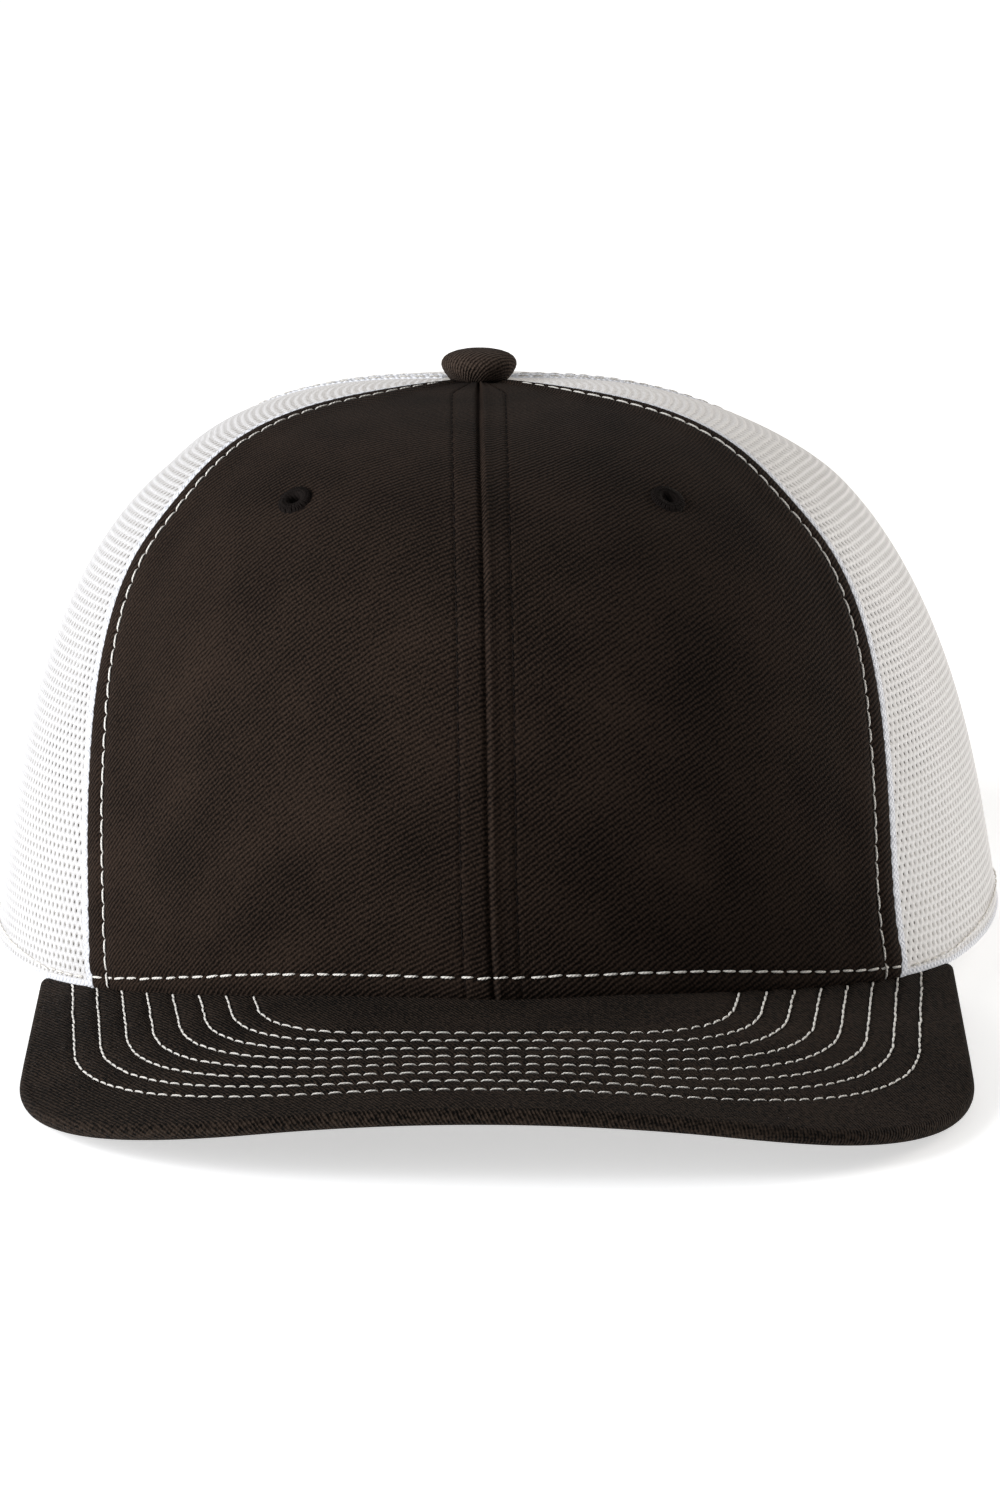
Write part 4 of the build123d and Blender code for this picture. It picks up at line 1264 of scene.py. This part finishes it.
def visor_cloth():
    """The visor's cloth in two closed pieces: the top with its rolled edge, and the underside."""
    edge_line = both_halves(visor_outline(VISOR_CORNER, VISOR_SIDE_LEAN, 0.0, VISOR_CORNER_ARC))
    stations = np.linspace(0, line_length(edge_line), VISOR_STATIONS)
    outer = along_line(edge_line, stations)
    tangent = along_line(edge_line, stations + 0.2) - along_line(edge_line, stations - 0.2)
    outward = np.stack((tangent[:, 1], -tangent[:, 0]), axis=-1)
    outward /= np.linalg.norm(outward, axis=1, keepdims=True)
    outward *= np.sign((outward * (outer - np.array((0.0, -60.0)))).sum(axis=1, keepdims=True))
    inner_x = RIM_WIDTH / 2 - VISOR_INNER
    inner_y = RIM_LENGTH / 2 - VISOR_INNER
    end = math.acos(-VISOR_CORNER[1] / inner_y)
    turns = np.linspace(-end, end, VISOR_STATIONS)
    inner = np.stack((inner_x * np.sin(turns), -inner_y * np.cos(turns)), axis=-1)
    shoulder = outer - outward * EDGE
    way = np.linspace(0, 1, VISOR_STEPS)
    plan = inner[None] + (shoulder - inner)[None] * way[:, None, None]
    height = visor_top(plan[..., 0], plan[..., 1])
    fade = 1 - ease(way, 0.97, 1.0)[:, None]
    top = raised(plan, height - 0.05 + visor_puff(plan) * fade)

    edge_rows, edge_uv = [], []
    for angle in np.linspace(0, np.pi, 13)[1:]:
        flat = shoulder + outward * EDGE * math.sin(angle) * 0.98
        edge_rows.append(raised(flat, height[-1] - 0.05 - EDGE * (1 - math.cos(angle))))
        edge_uv.append(shoulder + outward * EDGE * angle)
    lining = np.concatenate((plan[::-6], plan[:1]))
    inside = raised(lining, visor_top(lining[..., 0], lining[..., 1]) - VISOR_COVER)
    under_edge = height[-8] - VISOR_THICKNESS
    turn_in = raised(plan[[-8, -8]], np.stack((under_edge + 0.02, under_edge + 0.6)))
    ring = np.concatenate((top, np.stack(edge_rows), turn_in, inside))
    uv = np.concatenate((plan, np.stack(edge_uv), plan[[-8, -8]], lining))
    rows = len(ring)
    faces = grid_faces(rows, VISOR_STATIONS, flip=True)
    index = np.arange(rows * VISOR_STATIONS).reshape(rows, VISOR_STATIONS)
    closing = np.stack((index[-1, :-1], index[-1, 1:], index[0, 1:], index[0, :-1]), axis=-1)
    ends = [index[::-1, 0][None], index[:, -1][None]]
    make(
        "visor_upper_cloth", ring.reshape(-1, 3), [np.concatenate((faces, closing[:, ::-1])), *ends],
        visor_twill, ["visor_top_cloth"], uv.reshape(-1, 2),
    )

    board_plan = inner[None] + (outer - outward * 0.9 - inner)[None] * way[::3, None, None]
    board_top = visor_top(board_plan[..., 0], board_plan[..., 1])
    depths = (VISOR_COVER + 0.02, VISOR_THICKNESS - VISOR_COVER)
    points, faces = shell_parts(*(raised(board_plan, board_top - d) for d in depths), flip=True)
    make("visor_stiffener", points, [faces], board_plastic, ["visor_board"])

    under_plan = plan[:-5:2]
    under_height = visor_top(under_plan[..., 0], under_plan[..., 1]) - VISOR_THICKNESS
    seam_fade = (1 - ease(np.linspace(0, 1, len(under_plan)), 0.97, 1.0))[:, None]
    relief = -visor_puff(under_plan) * 0.7 * seam_fade
    low = raised(under_plan, under_height + relief + 0.03)
    points, faces = shell_parts(low, raised(under_plan, under_height + 0.6))
    make(
        "visor_lower_cloth", points, [faces], visor_twill,
        ["visor_under_cloth"], points[:, :2] * np.array((-1.0, 1.0)),
    )


visor_cloth()


def visor_stitches():
    """The visor's rows, seen on its top and on its underside."""
    rows = []
    for line in VISOR_ROWS:
        x, y = line.T
        points = raised(line, visor_top(x, y) - 0.2)
        slope_x = visor_top(x + 0.5, y) - visor_top(x - 0.5, y)
        slope_y = visor_top(x, y + 0.5) - visor_top(x, y - 0.5)
        normals = np.stack((-slope_x, -slope_y, np.ones(len(line))), axis=-1)
        rows.append(stitch_row(points, normals, lift=0.14))
        under = points - np.array((0, 0, VISOR_THICKNESS - 0.35))
        rows.append(stitch_row(under, -normals))
    stitches("visor_stitches", rows, white_thread)


visor_stitches()


# ---------------------------------------------------------------- sweatband
def sweatband():
    """Cloth over a thin foam, quilted by its two rows, with a bound top edge."""
    end = np.pi - math.asin(SWEATBAND_END / (RIM_WIDTH / 2 - SWEATBAND_INSET))
    turn = np.linspace(-end, end, 420)
    base = RIM_DIP * (crown_point(turn, 0 * turn)[:, 1] - RIM_LENGTH / 2) + 0.2
    depth = SWEATBAND_INSET + SWEATBAND_FOAM
    way = np.linspace(0, 1, 40)[:, None]
    share = (base + (SWEATBAND_HEIGHT - base) * way) / CROWN_HEIGHT
    turns = np.broadcast_to(turn, share.shape)
    puff = 0.55 * np.sin(np.pi * way) ** 0.5 * (1 + 0.12 * np.sin(turns * 31) * np.sin(9 * way))
    face = crown_out(turns, share, -depth - SWEATBAND_CLOTH - puff + 0.2)
    back = crown_out(turns, share, -depth)
    points, faces = shell_parts(back, face)
    uv = shell_uv(crown_point(turns, share))
    cloth = make(
        "sweatband_cover", points, [faces], band_twill, ["sweatband_cloth"], uv
    )

    foam_end = math.acos(-40 / (RIM_LENGTH / 2))
    turn = np.linspace(-foam_end, foam_end, 200)
    base = RIM_DIP * (crown_point(turn, 0 * turn)[:, 1] - RIM_LENGTH / 2) + 0.4
    share = (base + (SWEATBAND_HEIGHT - 0.3 - base) * np.linspace(0, 1, 12)[:, None]) / CROWN_HEIGHT
    turns = np.broadcast_to(turn, share.shape)
    sheets = [crown_out(turns, share, -d) for d in (SWEATBAND_INSET, depth - 0.05)]
    points, faces = shell_parts(*sheets)
    uv = shell_uv(sheets[0])
    foam = make("sweatband_padding", points, [faces], foam_weave, ["sweatband_foam"], uv)

    turn = np.linspace(-end, end, 420)
    profile = (
        (-3.0, 0.0), (-2.9, 1.4), (-3.4, 2.0), (-4.4, 2.1), (-5.0, 1.8), (-5.3, 0.9), (-5.35, -1.0),
        (-5.2, -3.6), (-5.0, -3.8), (-4.9, 0.0),
    )
    sections = np.stack([
        crown_out(turn, np.full_like(turn, (SWEATBAND_HEIGHT + h) / CROWN_HEIGHT), out)
        for out, h in profile
    ], axis=1)
    points, quads, caps = loop_parts(sections)
    make(
        "sweatband_binding", points, [quads[:, ::-1], caps[:, ::-1]], tape_weave,
        ["sweatband_edging"], loop_uv(sections),
    )
    line_share = np.full_like(turn, (SWEATBAND_HEIGHT - 2.8) / CROWN_HEIGHT)
    line = crown_out(turn, line_share, -5.3)
    stitches(
        "sweatband_stitches", [stitch_row(line, -crown_normal(turn, line_share))],
        white_thread,
    )


sweatband()


def label():
    """A blank satin label, sewn to the sweatband by its ends."""
    half_length = RIM_LENGTH / 2
    turns = np.linspace(np.pi - math.acos(25 / half_length), np.pi - math.acos(51 / half_length), 40)
    heights = np.linspace(11, 29, 24)[:, None]
    share = np.broadcast_to(heights / CROWN_HEIGHT, (24, 40))
    turns = np.broadcast_to(turns, share.shape)
    bow = 0.5 * np.sin(np.linspace(0, np.pi, 40)) + 0.12 * np.sin(heights / 2.3)
    face = mirrored(crown_out(turns, share, -5.75 - bow), -1)
    back = mirrored(crown_out(turns, share, -5.5 - bow), -1)
    points, faces = shell_parts(back, face, flip=True)
    uv = shell_uv(face)
    make("care_label_satin", points, [faces], satin_weave, ["care_label"], uv)


label()


# ---------------------------------------------------------------- CAD nodes that stay
def keep_node(name, skin):
    """A CAD node whose shape is right gets the finished material."""
    mesh = frame["nodes"][name].data
    mesh.materials.clear()
    mesh.materials.append(skin)


for name in ("strap_holes", "strap_posts", "strap_tab_left", "strap_tab_right"):
    keep_node(name, strap_plastic)


# ---------------------------------------------------------------- floor, light and camera
def floor():
    """A plain, nearly white floor."""
    made, tree, shader = material("floor_paper", 0.9)
    place = node(tree, "TexCoord").outputs["Object"]
    tone = noise(tree, place, 2.0, 3.0)
    stops = ((0.3, (0.93, 0.93, 0.93)), (0.7, (0.95, 0.95, 0.95)))
    colour = ramp(tree, tone, *stops)
    feed(tree, shader, {"Base Color": colour, "Emission Color": colour, "Emission Strength": 0.6})
    mesh = bpy.data.meshes.new("floor")
    size = 6.0
    corners = [(-size, -size, 0), (size, -size, 0), (size, size, 0), (-size, size, 0)]
    mesh.from_pydata(corners, [], [(0, 1, 2, 3)])
    mesh.materials.append(made)
    piece = bpy.data.objects.new("floor", mesh)
    bpy.context.scene.collection.objects.link(piece)


def area_light(name, place, target, size, watts, colour):
    light = bpy.data.lights.new(name, "AREA")
    light.size = size
    light.energy = watts
    light.color = colour
    lamp = bpy.data.objects.new(name, light)
    lamp.location = place
    lamp.rotation_euler = (Vector(target) - Vector(place)).to_track_quat("-Z", "Y").to_euler()
    bpy.context.scene.collection.objects.link(lamp)


def studio():
    """Soft light from the left, a weak warm one from behind on the right, and a pale sky."""
    background = bpy.data.worlds.new("studio")
    background.use_nodes = True
    sky = background.node_tree.nodes["Background"]
    sky.inputs["Color"].default_value = (1.0, 1.0, 1.0, 1.0)
    sky.inputs["Strength"].default_value = 0.22
    bpy.context.scene.world = background
    middle = (0, 0, 0.05)
    area_light("key_light", (-1.95, -0.85, 0.9), middle, 1.3, 62, (0.97, 0.98, 1.0))
    area_light("fill_light", (1.5, 1.1, 0.45), middle, 1.2, 20, (1.0, 0.93, 0.85))
    area_light("top_light", (0, 0.3, 1.9), middle, 1.6, 0.8, (1.0, 1.0, 1.0))
    bpy.context.scene.view_settings.view_transform = "Standard"


def camera():
    """At the photograph's height and distance, straight ahead of the cap."""
    elevation = math.radians(14.16)
    distance = 1.5
    target = Vector(world((0.0, 0.0, 29.9)))
    back = Vector((0.0, -math.cos(elevation), math.sin(elevation)))
    lens = bpy.data.cameras.new("camera")
    lens.lens = 189.5
    lens.sensor_width = 36.0
    lens.shift_x = 0.002
    viewer = bpy.data.objects.new("camera", lens)
    viewer.location = target + back * distance
    viewer.rotation_euler = (-back).to_track_quat("-Z", "Y").to_euler()
    bpy.context.scene.collection.objects.link(viewer)
    bpy.context.scene.camera = viewer


floor()
studio()
camera()
